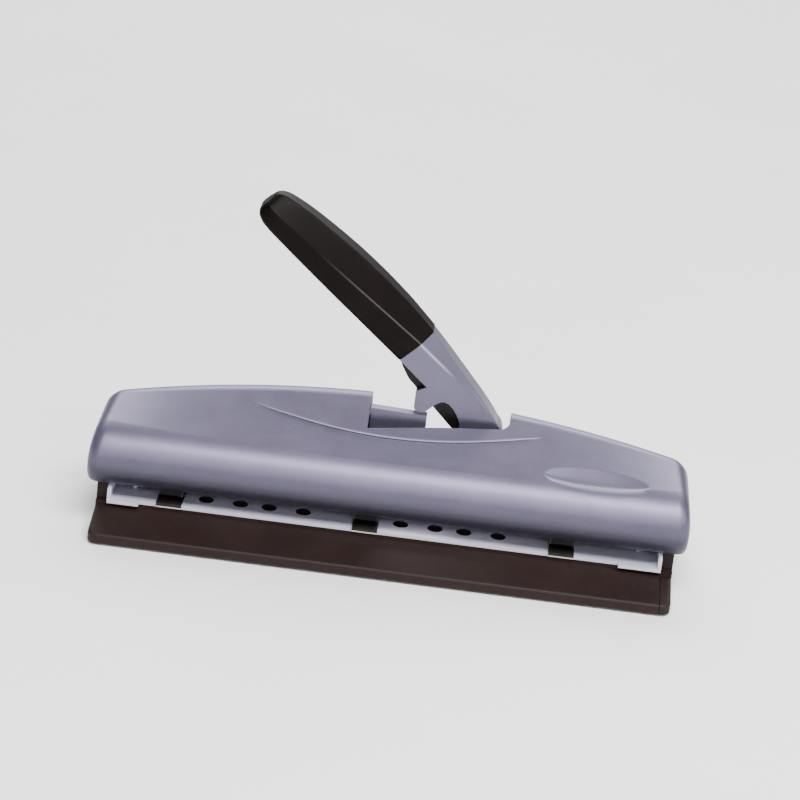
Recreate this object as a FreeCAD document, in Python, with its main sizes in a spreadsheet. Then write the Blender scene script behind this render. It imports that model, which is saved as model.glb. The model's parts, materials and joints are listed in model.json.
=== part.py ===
# Multi-hole desk punch: lever handle, pressed rocker and presser bar, three sliding punch heads,
# die plate, chip drawer, base and top cover. Millimetres, X to the right, Y to the back, Z up.
# The origin is the middle of the footprint on the surface that the rubber feet stand on.

import FreeCAD, Part
import Sketcher
import math
import os

Vector = FreeCAD.Vector

DRIVING = (
    ("left_margin", 40.15, "left punch head from the base's left end"),
    ("head_pitch", 108.0, "pitch of the punch heads"),
    ("right_margin", 61.35, "right punch head from the base's right end"),
    ("base_depth", 100.0, "depth of the black base"),
    ("base_height", 13.5, "base, from its underside to the deck"),
    ("base_wall", 2.5, "wall and deck thickness of the base"),
    ("base_floor", 2.0, "floor thickness of the base"),
    ("base_nose", 5.0, "height of the apron's front edge"),
    ("base_corner", 5.5, "radius of the base's front and back corners"),
    ("apron_depth", 26.5, "depth of the sloping apron"),
    ("apron_drop", 2.0, "step from the deck down to the apron"),
    ("pillar_height", 25.0, "end pillars above the deck"),
    ("pillar_depth", 58.5, "foot of the end pillars from front to back"),
    ("pillar_slope", 10.0, "slope of the end pillars' back, from foot to top"),
    ("foot_proud", 1.5, "rubber foot below the base"),
    ("foot_sunk", 1.0, "rubber foot inside its recess"),
    ("foot_radius", 7.0, "rubber foot radius"),
    ("foot_inset", 14.0, "foot centre from the base's ends"),
    ("drawer_width", 45.4, "chip drawer from front to back"),
    ("drawer_place", 1.0, "chip drawer's middle behind the base's middle"),
    ("drawer_wall", 1.6, "chip drawer wall"),
    ("drawer_cap", 6.0, "thickness of the drawer's end cap"),
    ("drawer_gap", 0.3, "running gap round the drawer"),
    ("plate_thickness", 2.0, "die plate sheet"),
    ("plate_setback", 27.0, "die plate's front edge behind the base's front"),
    ("plate_depth", 63.0, "die plate from front to back"),
    ("frame_inset", 6.5, "die plate's end flanges inside the base's ends"),
    ("flange_height", 27.0, "end flanges above the plate"),
    ("rear_flange_height", 8.0, "rear flange above the plate"),
    ("end_step", 3.5, "forward step at the plate's ends"),
    ("left_step", 17.25, "length of the left forward step"),
    ("right_step", 23.25, "length of the right forward step"),
    ("hole_setback", 12.7, "punch line behind the plate's front edge"),
    ("die_hole", 4.25, "radius of the holes in the die plate"),
    ("hole_step", 19.05, "first and second open holes, step beside a head"),
    ("hole_third", 54.0, "third open hole beside a head"),
    ("hole_fourth", 73.0, "fourth open hole beside a head"),
    ("head_width", 14.0, "punch head over its cheeks"),
    ("head_setback", 5.0, "head block behind the plate's front edge"),
    ("head_depth", 30.0, "head block from front to back"),
    ("head_height", 16.0, "head block above its shoe"),
    ("sheet_gap", 2.4, "paper gap in a head"),
    ("paper_stop", 11.0, "paper stop behind the punch line"),
    ("cheek_thickness", 1.0, "head bracket sheet"),
    ("lip_gap", 0.2, "running gap of a head bracket's lip before the die plate's edge"),
    ("lip_clear", 0.4, "lip of a head bracket above the deck"),
    ("punch_radius", 3.55, "punch pin radius"),
    ("slide_gap", 0.08, "radial running gap of pins and rods"),
    ("tip_rest", 0.2, "punch tip above the paper gap at rest"),
    ("cap_radius", 5.2, "spring cap radius"),
    ("cap_thickness", 1.5, "spring cap thickness"),
    ("cap_drop", 2.0, "spring cap below the pin's top"),
    ("pin_wire", 0.7, "punch spring wire diameter"),
    ("pin_coil", 4.3, "punch spring mean radius"),
    ("pin_turns", 3.5, "punch spring turns"),
    ("rail_radius", 4.0, "head rail radius"),
    ("rail_setback", 16.0, "head rail behind the punch line"),
    ("rail_height", 11.0, "head rail above the plate"),
    ("presser_height", 31.3, "underside of the presser above the plate"),
    ("presser_thickness", 3.0, "presser bar thickness"),
    ("presser_inset", 6.25, "presser bar's ends inside the die plate's"),
    ("presser_lead", 6.7, "presser bar ahead of the punch line"),
    ("presser_depth", 27.5, "presser bar from front to back"),
    ("press_gap", 0.2, "gap between presser and pins at rest"),
    ("post_radius", 3.0, "guide post radius"),
    ("post_inset", 6.0, "guide posts from the presser bar's ends"),
    ("post_setback", 6.3, "guide posts behind the punch line"),
    ("post_length", 38.0, "guide post above the plate"),
    ("lift_wire", 1.0, "lift spring wire diameter"),
    ("lift_coil", 4.4, "lift spring mean radius"),
    ("lift_turns", 7.0, "lift spring turns"),
    ("clip_thickness", 1.0, "retaining clip thickness"),
    ("lever_lean", 45.0, "lever above the horizontal at rest"),
    ("pivot_place", 46.5, "lever pivot right of the middle"),
    ("pivot_height", 48.0, "lever pivot above the deck"),
    ("lever_setback", 75.0, "lever's middle plane behind the base's front"),
    ("lever_width", 23.0, "shroud from side to side at the grip"),
    ("root_width", 16.0, "shroud from side to side at the pivot"),
    ("shroud_wall", 1.9, "shroud side wall"),
    ("shroud_length", 63.7, "pivot to the end of the shroud"),
    ("arm_sheet", 2.0, "lever arm sheet"),
    ("arm_root", 8.5, "lever arm radius round the pivot"),
    ("pivot_radius", 4.0, "lever pivot pin radius"),
    ("bush_wall", 1.5, "lever bush wall"),
    ("knuckle_reach", 35.2, "knuckle along the lever from the pivot"),
    ("knuckle_drop", 14.3, "knuckle below the lever's axis"),
    ("knuckle_radius", 4.0, "knuckle radius"),
    ("grip_length", 113.0, "grip along the lever"),
    ("bracket_sheet", 2.0, "pivot and rocker bracket sheet"),
    ("rocker_place", -23.5, "rocker pin, left of the middle"),
    ("rocker_height", 47.5, "rocker pin above the deck"),
    ("rocker_pin_radius", 3.0, "rocker pin radius"),
    ("rocker_slope", 2.0, "fall of the rocker's top at rest"),
    ("rocker_gap", 0.3, "gap under the knuckle and the foot at rest"),
    ("rocker_width", 24.0, "rocker from front to back"),
    ("rib_width", 6.0, "raised rib of the rocker from front to back"),
    ("rib_height", 8.5, "raised rib above the rocker"),
    ("foot_arm", 14.0, "rocker pin to its foot pin"),
    ("foot_rise", 2.0, "foot pin above the rocker pin, in degrees"),
    ("foot_pin_radius", 3.5, "foot pin radius"),
    ("cover_over", 6.25, "cover beyond each end of the base"),
    ("cover_wall", 2.7, "cover wall"),
    ("cover_bottom", 11.0, "cover's front edge above the deck"),
    ("cover_front", 22.0, "cover's foremost line behind the base's front"),
    ("cover_belly", 21.0, "cover's foremost line above the deck"),
    ("belly_low", 15.7, "radius of the front below its foremost line"),
    ("belly_high", 22.0, "radius of the front above its foremost line"),
    ("crest_height", 63.0, "crest above the deck in the middle"),
    ("crest_drop", 16.4, "fall of the crest towards the ends"),
    ("crest_place", 76.0, "crest behind the base's front in the middle"),
    ("crest_lead", 10.0, "crest further forward at the ends"),
    ("crest_radius", 11.0, "radius over the crest"),
    ("cover_back", 98.0, "foot of the back wall behind the base's front"),
    ("cover_corner", 6.5, "radius round the cover's ends"),
    ("end_lean", 4.6, "lean of the cover's ends from the foremost line to the crest"),
    ("notch_left", -16.0, "left wall of the notch"),
    ("notch_right", 61.5, "right wall of the notch"),
    ("notch_corner", 7.0, "rounded front corner of the notch"),
    ("ledge_height", 0.9, "raised ledge round the notch, at its curved front edge"),
    ("ledge_half", 81.0, "half length of the ledge"),
    ("ledge_sag", 14.3, "sag of the ledge's curved front edge"),
    ("ledge_front", 47.4, "ledge's front edge behind the base's front"),
    ("dish_place", 111.5, "oval dish right of the middle"),
    ("dish_length", 57.0, "oval dish length"),
    ("dish_height", 19.0, "oval dish height along the slope"),
    ("dish_depth", 1.3, "oval dish depth"),
    ("dish_set", 39.3, "oval dish behind the base's front"),
    ("boss_setback", 46.0, "front cover screws behind the base's front"),
    ("boss_pitch", 22.0, "cover screws from front to back"),
    ("boss_radius", 3.1, "cover screw boss radius"),
    ("boss_screw", 1.25, "cover screw shank radius"),
    ("boss_screw_head", 2.2, "cover screw head radius"),
    ("plate_screw_place", 90.0, "inner plate screws from the middle"),
    ("plate_screw_inset", 8.0, "outer plate screws inside the end flanges"),
    ("screw_radius", 1.5, "screw shank radius"),
    ("screw_head", 2.8, "screw head radius"),
    ("screw_head_height", 1.6, "screw head height"),
)


class Size:
    """A length or an angle that knows its number and its formula over the sheet."""

    def __init__(self, number, formula):
        self.number = float(number)
        self.formula = formula

    def __float__(self):
        return self.number

    def __neg__(self):
        return Size(-self.number, f"(-{self.formula})")

    def __add__(self, other):
        other = sized(other)
        return Size(self.number + other.number, f"({self.formula} + {other.formula})")

    def __sub__(self, other):
        other = sized(other)
        return Size(self.number - other.number, f"({self.formula} - {other.formula})")

    def __mul__(self, other):
        other = sized(other)
        return Size(self.number * other.number, f"({self.formula} * {other.formula})")

    def __truediv__(self, other):
        other = sized(other)
        return Size(self.number / other.number, f"({self.formula} / {other.formula})")

    def __radd__(self, other):
        return sized(other) + self

    def __rsub__(self, other):
        return sized(other) - self

    def __rmul__(self, other):
        return sized(other) * self


def sized(value):
    """Give a bare number the form of a Size."""
    if isinstance(value, Size):
        return value
    return Size(value, f"({float(value):.6f})")


def sine(angle):
    return Size(math.sin(math.radians(angle.number)), f"sin({angle.formula})")


def cosine(angle):
    return Size(math.cos(math.radians(angle.number)), f"cos({angle.formula})")


def make_sheet(doc):
    """Fill the spreadsheet and return its cells as named sizes."""
    sheet = doc.addObject("Spreadsheet::Sheet", "Sizes")
    named = {}
    for row, (alias, number, meaning) in enumerate(DRIVING, start=1):
        sheet.set(f"A{row}", meaning)
        sheet.set(f"B{row}", str(number))
        sheet.setAlias(f"B{row}", alias)
    doc.recompute()
    for alias, _, _ in DRIVING:
        named[alias] = Size(sheet.get(alias), f"Sizes.{alias}")
    return named


doc = FreeCAD.newDocument("desk_punch")
size = make_sheet(doc)
pieces = []

# Heights above the surface that the feet stand on.
base_under = size["foot_proud"]
deck = base_under + size["base_height"]
deck_under = deck - size["base_wall"]
floor_top = base_under + size["base_floor"]
plate_top = deck + size["plate_thickness"]
shoe_top = plate_top + size["cheek_thickness"]
throat_top = shoe_top + size["sheet_gap"]
head_top = shoe_top + size["head_height"]
presser_under = plate_top + size["presser_height"]
presser_top = presser_under + size["presser_thickness"]
pin_top = presser_under - size["press_gap"]
rail_z = plate_top + size["rail_height"]
pivot_z = deck + size["pivot_height"]
rocker_z = deck + size["rocker_height"]

# Distances from front to back.
base_front = -size["base_depth"] / 2
base_back = size["base_depth"] / 2
plate_front = base_front + size["plate_setback"]
plate_back = plate_front + size["plate_depth"]
punch_y = plate_front + size["hole_setback"]
head_front = plate_front + size["head_setback"]
head_back = head_front + size["head_depth"]
rail_y = punch_y + size["rail_setback"]
stop_y = punch_y + size["paper_stop"]
presser_front = punch_y - size["presser_lead"]
presser_back = presser_front + size["presser_depth"]
lever_y = base_front + size["lever_setback"]
drawer_front = size["drawer_place"] - size["drawer_width"] / 2
drawer_back = size["drawer_place"] + size["drawer_width"] / 2
floor_front = drawer_front - size["drawer_gap"] - size["base_wall"]
floor_back = drawer_back + size["drawer_gap"] + size["base_wall"]

# Distances from left to right.
base_half = (size["left_margin"] + size["head_pitch"] * 2 + size["right_margin"]) / 2
frame_half = base_half - size["frame_inset"]
flange_face = frame_half - size["plate_thickness"]
presser_half = frame_half - size["presser_inset"]
post_place = presser_half - size["post_inset"]
cover_half = base_half + size["cover_over"]
pivot_x = size["pivot_place"]
rocker_x = size["rocker_place"]
pillar_middle = (base_half + frame_half) / 2
first_head = size["left_margin"] - base_half
head_places = tuple(first_head + size["head_pitch"] * index for index in range(3))
head_names = ("left", "middle", "right")


def plane_of(body, role):
    """Find an origin plane of the body by its role."""
    for feature in body.Origin.OriginFeatures:
        if feature.Role == role:
            return feature
    raise ValueError(role)


def bind(thing, path, value):
    """Tie a property to its formula over the sheet."""
    thing.setExpression(path, sized(value).formula)


def new_body(label):
    body = doc.addObject("PartDesign::Body", label)
    body.Label = label
    body.AllowCompound = True
    pieces.append(body)
    return body


def draw(body, role, level, outline=(), circles=()):
    """Draw a closed outline of straight sides and full circles on a plane of the body."""
    sketch = body.newObject("Sketcher::SketchObject", f"{body.Name}_sketch")
    sketch.AttachmentSupport = [(plane_of(body, role), "")]
    sketch.MapMode = "FlatFace"
    outward = -1 if role == "XZ_Plane" else 1
    bind(sketch, "AttachmentOffset.Base.z", sized(level) * outward)
    corners = [(sized(across), sized(along)) for across, along in outline]
    for index, (across, along) in enumerate(corners):
        after = corners[(index + 1) % len(corners)]
        start = Vector(across.number, along.number, 0)
        end = Vector(after[0].number, after[1].number, 0)
        sketch.addGeometry(Part.LineSegment(start, end), False)
    for index, (across, along) in enumerate(corners):
        after = (index + 1) % len(corners)
        sketch.addConstraint(Sketcher.Constraint("Coincident", index, 2, after, 1))
        pin_point(sketch, index, 1, across, along)
    for across, along, radius in circles:
        across, along, radius = sized(across), sized(along), sized(radius)
        centre = Vector(across.number, along.number, 0)
        ring = sketch.addGeometry(Part.Circle(centre, Vector(0, 0, 1), radius.number), False)
        pin_point(sketch, ring, 3, across, along)
        held = sketch.addConstraint(Sketcher.Constraint("Radius", ring, radius.number))
        bind(sketch, f"Constraints[{held}]", radius)
    return sketch


def pin_point(sketch, geometry, point, across, along):
    """Hold a point of the sketch at its distances from the sketch's origin."""
    for kind, distance in (("DistanceX", across), ("DistanceY", along)):
        rule = Sketcher.Constraint(kind, -1, 1, geometry, point, distance.number)
        held = sketch.addConstraint(rule)
        bind(sketch, f"Constraints[{held}]", distance)


def add(body, role, start, length, outline=(), circles=()):
    """Add material from start over a length, towards plus along the plane's axis."""
    sketch = draw(body, role, start, outline, circles)
    pad = body.newObject("PartDesign::Pad", f"{body.Name}_pad")
    pad.Profile = sketch
    pad.Reversed = role == "XZ_Plane"
    bind(pad, "Length", length)
    return pad


def cut(body, role, start, length, outline=(), circles=()):
    """Take material away from start over a length, towards plus along the plane's axis."""
    sketch = draw(body, role, start, outline, circles)
    pocket = body.newObject("PartDesign::Pocket", f"{body.Name}_pocket")
    pocket.Profile = sketch
    pocket.Reversed = role != "XZ_Plane"
    bind(pocket, "Length", length)
    return pocket


def dress(body, kind, value, wanted):
    """Round or bevel the edges of the body that the test wants."""
    doc.recompute()
    base = body.Tip
    names = []
    for index, edge in enumerate(base.Shape.Edges, start=1):
        if wanted(edge):
            names.append(f"Edge{index}")
    feature = body.newObject(f"PartDesign::{kind}", f"{body.Name}_{kind.lower()}")
    feature.Base = (base, names)
    bind(feature, "Radius" if kind == "Fillet" else "Size", value)
    return feature


def runs_along(edge, axis, **at):
    """Tell whether an edge is straight along the axis and lies at the given places."""
    if edge.Curve.TypeId != "Part::GeomLine":
        return False
    start, end = edge.Vertexes[0].Point, edge.Vertexes[-1].Point
    for name in "xyz":
        if name == axis:
            continue
        if abs(getattr(start, name) - getattr(end, name)) > 1e-4:
            return False
    for name, places in at.items():
        if min(abs(getattr(start, name) - float(place)) for place in places) > 1e-3:
            return False
    return True


def box_outline(low_across, high_across, low_along, high_along):
    return (
        (low_across, low_along),
        (high_across, low_along),
        (high_across, high_along),
        (low_across, high_along),
    )


def round_piece(label, role, centres, steps):
    """Turned pieces that share a node: each step is a radius, a start and a length."""
    body = new_body(label)
    for radius, start, length in steps:
        circles = [(across, along, radius) for across, along in centres]
        add(body, role, start, length, circles=circles)
    return body


def bore_through(body, role, start, length, centres, radius):
    cut(body, role, start, length, circles=[(across, along, radius) for across, along in centres])


def bore_across(body, across, height, radius):
    """Bore a body from front to back, right through the lever's width."""
    width = size["lever_width"]
    bore_through(body, "XZ_Plane", lever_y - width, width * 2, [(across, height)], radius)


def shape_piece(label, shape):
    """A piece whose shape is worked out here from the sheet's sizes."""
    feature = doc.addObject("Part::Feature", label)
    feature.Label = label
    feature.Shape = shape
    pieces.append(feature)
    return feature


# Base, feet and chip drawer.

def base_profile():
    """Section of the base from its nose over the apron and the deck."""
    nose_top = base_under + size["base_nose"]
    apron_back = base_front + size["apron_depth"]
    return (
        (base_front, base_under),
        (base_front, nose_top),
        (apron_back, deck - size["apron_drop"]),
        (apron_back, deck),
        (base_back, deck),
        (base_back, base_under),
    )


def cap_profile():
    """The part of the base's section that the drawer's end cap takes."""
    nose_top = base_under + size["base_nose"]
    cap_top = deck_under - size["drawer_gap"]
    rise = deck - size["apron_drop"] - nose_top
    run = size["apron_depth"] * (cap_top - nose_top) / rise
    return (
        (base_front, base_under),
        (base_front, nose_top),
        (base_front + run, cap_top),
        (base_back, cap_top),
        (base_back, base_under),
    )


def foot_centres():
    places = []
    for side in (-1, 1):
        across = (base_half - size["foot_inset"]) * side - size["drawer_cap"]
        for along in ((base_front + floor_front) / 2, (base_back + floor_back) / 2):
            places.append((across, along))
    return places


def cover_screw_places():
    places = []
    for side in (-1, 1):
        for step in (0, 1):
            along = base_front + size["boss_setback"] + size["boss_pitch"] * step
            places.append((pillar_middle * side, along))
    return places


def plate_screw_places():
    back = plate_back - 7.0
    outer, inner = flange_face - size["plate_screw_inset"], size["plate_screw_place"]
    return [(across, back) for across in (-outer, outer, -inner, inner)]


def pillar_profile():
    """Side outline of an end pillar, sloping at the back inside the cover."""
    foot_back = plate_front + 2.5 + size["pillar_depth"]
    top = deck + size["pillar_height"]
    return (
        (plate_front + 2.5, deck - 0.5),
        (plate_front + 2.5, top),
        (foot_back - size["pillar_slope"], top),
        (foot_back, deck + 5.0),
        (foot_back, deck - 0.5),
    )


def make_base():
    body = new_body("base_shell")
    add(body, "YZ_Plane", -base_half, base_half * 2, base_profile())
    cap_face = base_half - size["drawer_cap"] - size["drawer_gap"]
    step = box_outline(cap_face, base_half + 1.0, base_front - 1.0, base_back + 1.0)
    cut(body, "XY_Plane", base_under - 1.0, deck_under - base_under + 1.0, step)
    gap = size["drawer_gap"]
    bay_front = drawer_front - gap
    bay_back = drawer_back + gap
    bay = box_outline(-frame_half, cap_face + 1.0, bay_front, bay_back)
    cut(body, "XY_Plane", floor_top, deck_under - floor_top, bay)
    lap = size["base_wall"]
    seat = box_outline(-frame_half - lap, cap_face + 1.0, bay_front - lap, bay_back + lap)
    cut(body, "XY_Plane", base_under - 1.0, size["base_floor"] + 1.0, seat)
    foot_room = size["foot_radius"] + size["base_wall"]
    hollow_left = foot_centres()[0][0] + foot_room
    hollow_right = foot_centres()[-1][0] - foot_room
    front = box_outline(hollow_left, hollow_right, base_front + 6.0, bay_front - size["base_wall"])
    cut(body, "XY_Plane", base_under - 1.0, size["base_nose"] - 1.0, front)
    back = box_outline(hollow_left, hollow_right, bay_back + size["base_wall"], base_back - size["base_wall"])
    cut(body, "XY_Plane", base_under - 1.0, deck_under - base_under + 1.0, back)
    chute = box_outline(
        head_places[0] - size["die_hole"] - 3.0, head_places[2] + size["die_hole"] + 3.0,
        punch_y - size["die_hole"] - 2.0, punch_y + size["die_hole"] + 2.0)
    cut(body, "XY_Plane", deck_under - 0.5, size["base_wall"] + 1.0, chute)
    pillar_width = base_half - frame_half - 0.3
    for start in (-base_half, base_half - pillar_width):
        add(body, "YZ_Plane", start, pillar_width, pillar_profile())
    feet = [(across, along, size["foot_radius"]) for across, along in foot_centres()]
    cut(body, "XY_Plane", base_under - 1.0, size["foot_sunk"] + 1.0, circles=feet)
    shanks = cover_screw_places()
    bore_through(body, "XY_Plane", deck - 1.0, size["pillar_height"] + 2.0, shanks, size["boss_screw"])
    heads = size["boss_screw_head"] + 0.15
    bore_through(body, "XY_Plane", base_under - 1.0, size["base_height"] + 1.0, shanks, heads)
    holds = size["screw_radius"]
    bore_through(body, "XY_Plane", deck_under - 0.5, size["base_wall"] + 1.0, plate_screw_places(), holds)
    dress(body, "Fillet", size["base_corner"], lambda edge: runs_along(
        edge, "z", x=(base_half * -1,), y=(base_front, base_back)))
    dress(body, "Fillet", size["base_nose"] * 0.4, lambda edge: runs_along(
        edge, "x", y=(base_front,), z=(base_under + size["base_nose"],)))


def make_floor():
    """Flat floor under the drawer's bay, let into the base from below."""
    body = new_body("base_floor")
    lap = size["base_wall"]
    gap = size["drawer_gap"]
    cap_face = base_half - size["drawer_cap"] - gap
    sheet = box_outline(-frame_half - lap, cap_face, floor_front, floor_back)
    add(body, "XY_Plane", base_under, size["base_floor"], sheet)


def make_feet():
    round_piece("rubber_feet", "XY_Plane", foot_centres(), (
        (size["foot_radius"] - 1.0, sized(0), size["foot_proud"] * 0.4),
        (size["foot_radius"], size["foot_proud"] * 0.4, size["foot_proud"] * 0.6 + size["foot_sunk"]),
    ))


def make_drawer():
    cap_face = base_half - size["drawer_cap"]
    cap = new_body("drawer_cap")
    add(cap, "YZ_Plane", cap_face, size["drawer_cap"], cap_profile())
    dress(cap, "Fillet", size["base_corner"], lambda edge: runs_along(
        edge, "z", x=(base_half,), y=(base_front, base_back)))
    dress(cap, "Fillet", size["base_nose"] * 0.4, lambda edge: runs_along(
        edge, "x", y=(base_front,), z=(base_under + size["base_nose"],)))
    tray = new_body("drawer_tray")
    left = -frame_half + size["drawer_gap"]
    bottom = floor_top + size["drawer_gap"]
    top = deck_under - size["drawer_gap"]
    add(tray, "YZ_Plane", left, cap_face - left, box_outline(drawer_front, drawer_back, bottom, top))
    wall = size["drawer_wall"]
    room = box_outline(left + wall, cap_face - wall, drawer_front + wall, drawer_back - wall)
    cut(tray, "XY_Plane", bottom, size["base_height"], room)
    plate = new_body("drawer_floor")
    add(plate, "XY_Plane", bottom, wall, room)


# Die plate with its flanges, head rail and frame screws.

def hole_places():
    """Die holes: one under each head, and four more beside the left and the middle head."""
    places = list(head_places)
    offsets = (size["hole_step"], size["hole_step"] * 2, size["hole_third"], size["hole_fourth"])
    for head in head_places[:2]:
        places.extend(head + offset for offset in offsets)
    return places


def post_places():
    return [(post_place * side, punch_y + size["post_setback"]) for side in (-1, 1)]


def make_die_frame():
    body = new_body("die_frame")
    stepped = plate_front - size["end_step"]
    outline = (
        (-frame_half, stepped),
        (-frame_half + size["left_step"], stepped),
        (-frame_half + size["left_step"], plate_front),
        (frame_half - size["right_step"], plate_front),
        (frame_half - size["right_step"], stepped),
        (frame_half, stepped),
        (frame_half, plate_back),
        (-frame_half, plate_back),
    )
    add(body, "XY_Plane", deck, size["plate_thickness"], outline)
    flange_top = plate_top + size["flange_height"]
    lip_back = plate_front + 2.6
    flange = (
        (stepped, deck),
        (stepped, deck + 8.0),
        (lip_back, deck + 10.2),
        (lip_back, flange_top),
        (plate_back - size["pillar_slope"] - 1.0, flange_top),
        (plate_back - size["plate_thickness"], deck + 11.0),
        (plate_back - size["plate_thickness"], deck),
    )
    add(body, "YZ_Plane", -frame_half, size["plate_thickness"], flange)
    add(body, "YZ_Plane", flange_face, size["plate_thickness"], flange)
    rear = box_outline(-flange_face + 2.0, flange_face - 2.0, deck, plate_top + size["rear_flange_height"])
    add(body, "XZ_Plane", plate_back - size["plate_thickness"], size["plate_thickness"], rear)
    holes = [(place, punch_y) for place in hole_places()]
    bore_through(body, "XY_Plane", deck - 0.5, size["plate_thickness"] + 1.0, holes, size["die_hole"])
    posts = size["post_radius"] - 1.0
    bore_through(body, "XY_Plane", deck - 0.5, size["plate_thickness"] + 1.0, post_places(), posts)
    screws = plate_screw_places()
    bore_through(body, "XY_Plane", deck - 0.5, size["plate_thickness"] + 1.0, screws, size["screw_radius"])
    rivets = pivot_bracket_rivets() + rocker_bracket_rivets()
    bore_through(body, "XY_Plane", deck - 0.5, size["plate_thickness"] + 1.0, rivets, size["screw_radius"])
    rail = [(rail_y, rail_z)]
    bore_through(body, "YZ_Plane", -frame_half - 1.0, frame_half * 2 + 2.0, rail, size["rail_radius"])


def make_rail():
    round_piece("head_rail", "YZ_Plane", [(rail_y, rail_z)], (
        (size["rail_radius"], -frame_half, frame_half * 2),
    ))


def make_frame_screws():
    head = size["screw_head_height"]
    shank = plate_top - deck_under - 0.3
    round_piece("frame_screws", "XY_Plane", plate_screw_places(), (
        (size["screw_radius"], plate_top - shank, shank),
        (size["screw_head"], plate_top, head),
    ))


# Punch heads: block, bracket, pin, spring cap, spring and lock ring.

def make_head(name, place):
    block_half = size["head_width"] / 2 - size["cheek_thickness"]
    block = new_body(f"{name}_head_block")
    profile = (
        (head_front, throat_top),
        (head_front, head_top - 3.0),
        (head_front + 3.0, head_top),
        (head_back, head_top),
        (head_back, shoe_top),
        (stop_y, shoe_top),
        (stop_y, throat_top),
    )
    add(block, "YZ_Plane", place - block_half, block_half * 2, profile)
    guide = size["punch_radius"] + size["slide_gap"]
    bore_through(block, "XY_Plane", throat_top - 1.0, head_top, [(place, punch_y)], guide)
    rail_bore = size["rail_radius"] + size["slide_gap"]
    width = size["head_width"]
    bore_through(block, "YZ_Plane", place - width, width * 2, [(rail_y, rail_z)], rail_bore)
    ring_width = size["clip_thickness"] * 1.5
    slot = box_outline(
        place - ring_width / 2, place + ring_width / 2,
        rail_y - size["rail_radius"] - 2.2, rail_y + size["rail_radius"] + 2.2)
    cut(block, "XY_Plane", rail_z - size["rail_radius"] - 2.2, size["head_height"], slot)
    bracket = new_body(f"{name}_head_bracket")
    lip_front = plate_front - size["lip_gap"] - size["cheek_thickness"]
    left, right = place - size["head_width"] / 2, place + size["head_width"] / 2
    shoe = box_outline(left, right, lip_front, head_back)
    add(bracket, "XY_Plane", plate_top, size["cheek_thickness"], shoe)
    lip = box_outline(left, right, lip_front, lip_front + size["cheek_thickness"])
    lip_foot = deck + size["lip_clear"]
    add(bracket, "XY_Plane", lip_foot, shoe_top - lip_foot, lip)
    cheek = (
        (head_front - 0.6, throat_top),
        (head_front - 0.6, head_top - 3.0),
        (head_front + 2.4, head_top),
        (head_back, head_top),
        (head_back, plate_top),
        (stop_y, plate_top),
        (stop_y, throat_top),
    )
    for side in (-1, 1):
        face = place + (size["head_width"] / 2 - size["cheek_thickness"] / 2) * side
        add(bracket, "YZ_Plane", face - size["cheek_thickness"] / 2, size["cheek_thickness"], cheek)
    bore_through(bracket, "XY_Plane", plate_top - 1.0, size["cheek_thickness"] + 1.5, [(place, punch_y)],
                 size["punch_radius"] + size["slide_gap"])
    bore_through(bracket, "YZ_Plane", place - width, width * 2, [(rail_y, rail_z)], rail_bore)
    make_lock_ring(name, place, ring_width)
    make_pin(name, place)


def make_lock_ring(name, place, ring_width):
    """Open spring ring that grips the rail inside the block's slot."""
    body = new_body(f"{name}_lock_ring")
    inner = size["rail_radius"] + 0.02
    outer = size["rail_radius"] + 1.6
    thick = ring_width - 0.3
    add(body, "YZ_Plane", place - thick / 2, thick, circles=((rail_y, rail_z, outer),))
    bore_through(body, "YZ_Plane", place - ring_width, ring_width * 2, [(rail_y, rail_z)], inner)
    opening = box_outline(rail_y - 2.0, rail_y + 2.0, rail_z - outer - 1.0, rail_z)
    cut(body, "YZ_Plane", place - ring_width, ring_width * 2, opening)


def make_pin(name, place):
    tip = throat_top + size["tip_rest"]
    round_piece(f"{name}_punch_pin", "XY_Plane", [(place, punch_y)], (
        (size["punch_radius"], tip, pin_top - tip),
    ))
    cap_top = pin_top - size["cap_drop"]
    cap = round_piece(f"{name}_spring_cap", "XY_Plane", [(place, punch_y)], (
        (size["cap_radius"], cap_top - size["cap_thickness"], size["cap_thickness"]),
    ))
    bore_through(cap, "XY_Plane", cap_top - 5.0, sized(10), [(place, punch_y)], size["punch_radius"])
    room = float(cap_top - size["cap_thickness"] - head_top)
    coil = spring_shape(size["pin_coil"], size["pin_wire"], size["pin_turns"], room)
    coil.translate(Vector(float(place), float(punch_y), float(head_top)))
    shape_piece(f"{name}_pin_spring", coil)


def arc_pair(start, start_way, end, end_way):
    """Two arcs from one point and direction to another, meeting smoothly."""
    span = end - start
    both = span.dot(start_way + end_way)
    bend = 2 * (1 - start_way.dot(end_way))
    reach = (math.sqrt(both ** 2 + bend * span.dot(span)) - both) / bend
    first_corner = start + start_way * reach
    last_corner = end - end_way * reach
    middle = (first_corner + last_corner) * 0.5
    arcs = []
    for near, corner, far in ((start, first_corner, middle), (middle, last_corner, end)):
        weight = (far - near).Length / (2 * reach)
        crown = (near + corner * (2 * weight) + far) * (1 / (2 + 2 * weight))
        arcs.append(Part.Arc(near, crown, far).toShape())
    return arcs


def self_gap(path, turn_length, thick):
    """Least distance from a turn's skin to the next turn's."""
    points = path.discretize(Distance=turn_length / 48)
    near = min(
        (points[late] - points[early]).Length
        for early in range(len(points))
        for late in range(early + 24, min(early + 72, len(points)))
    )
    return near - thick


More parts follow.
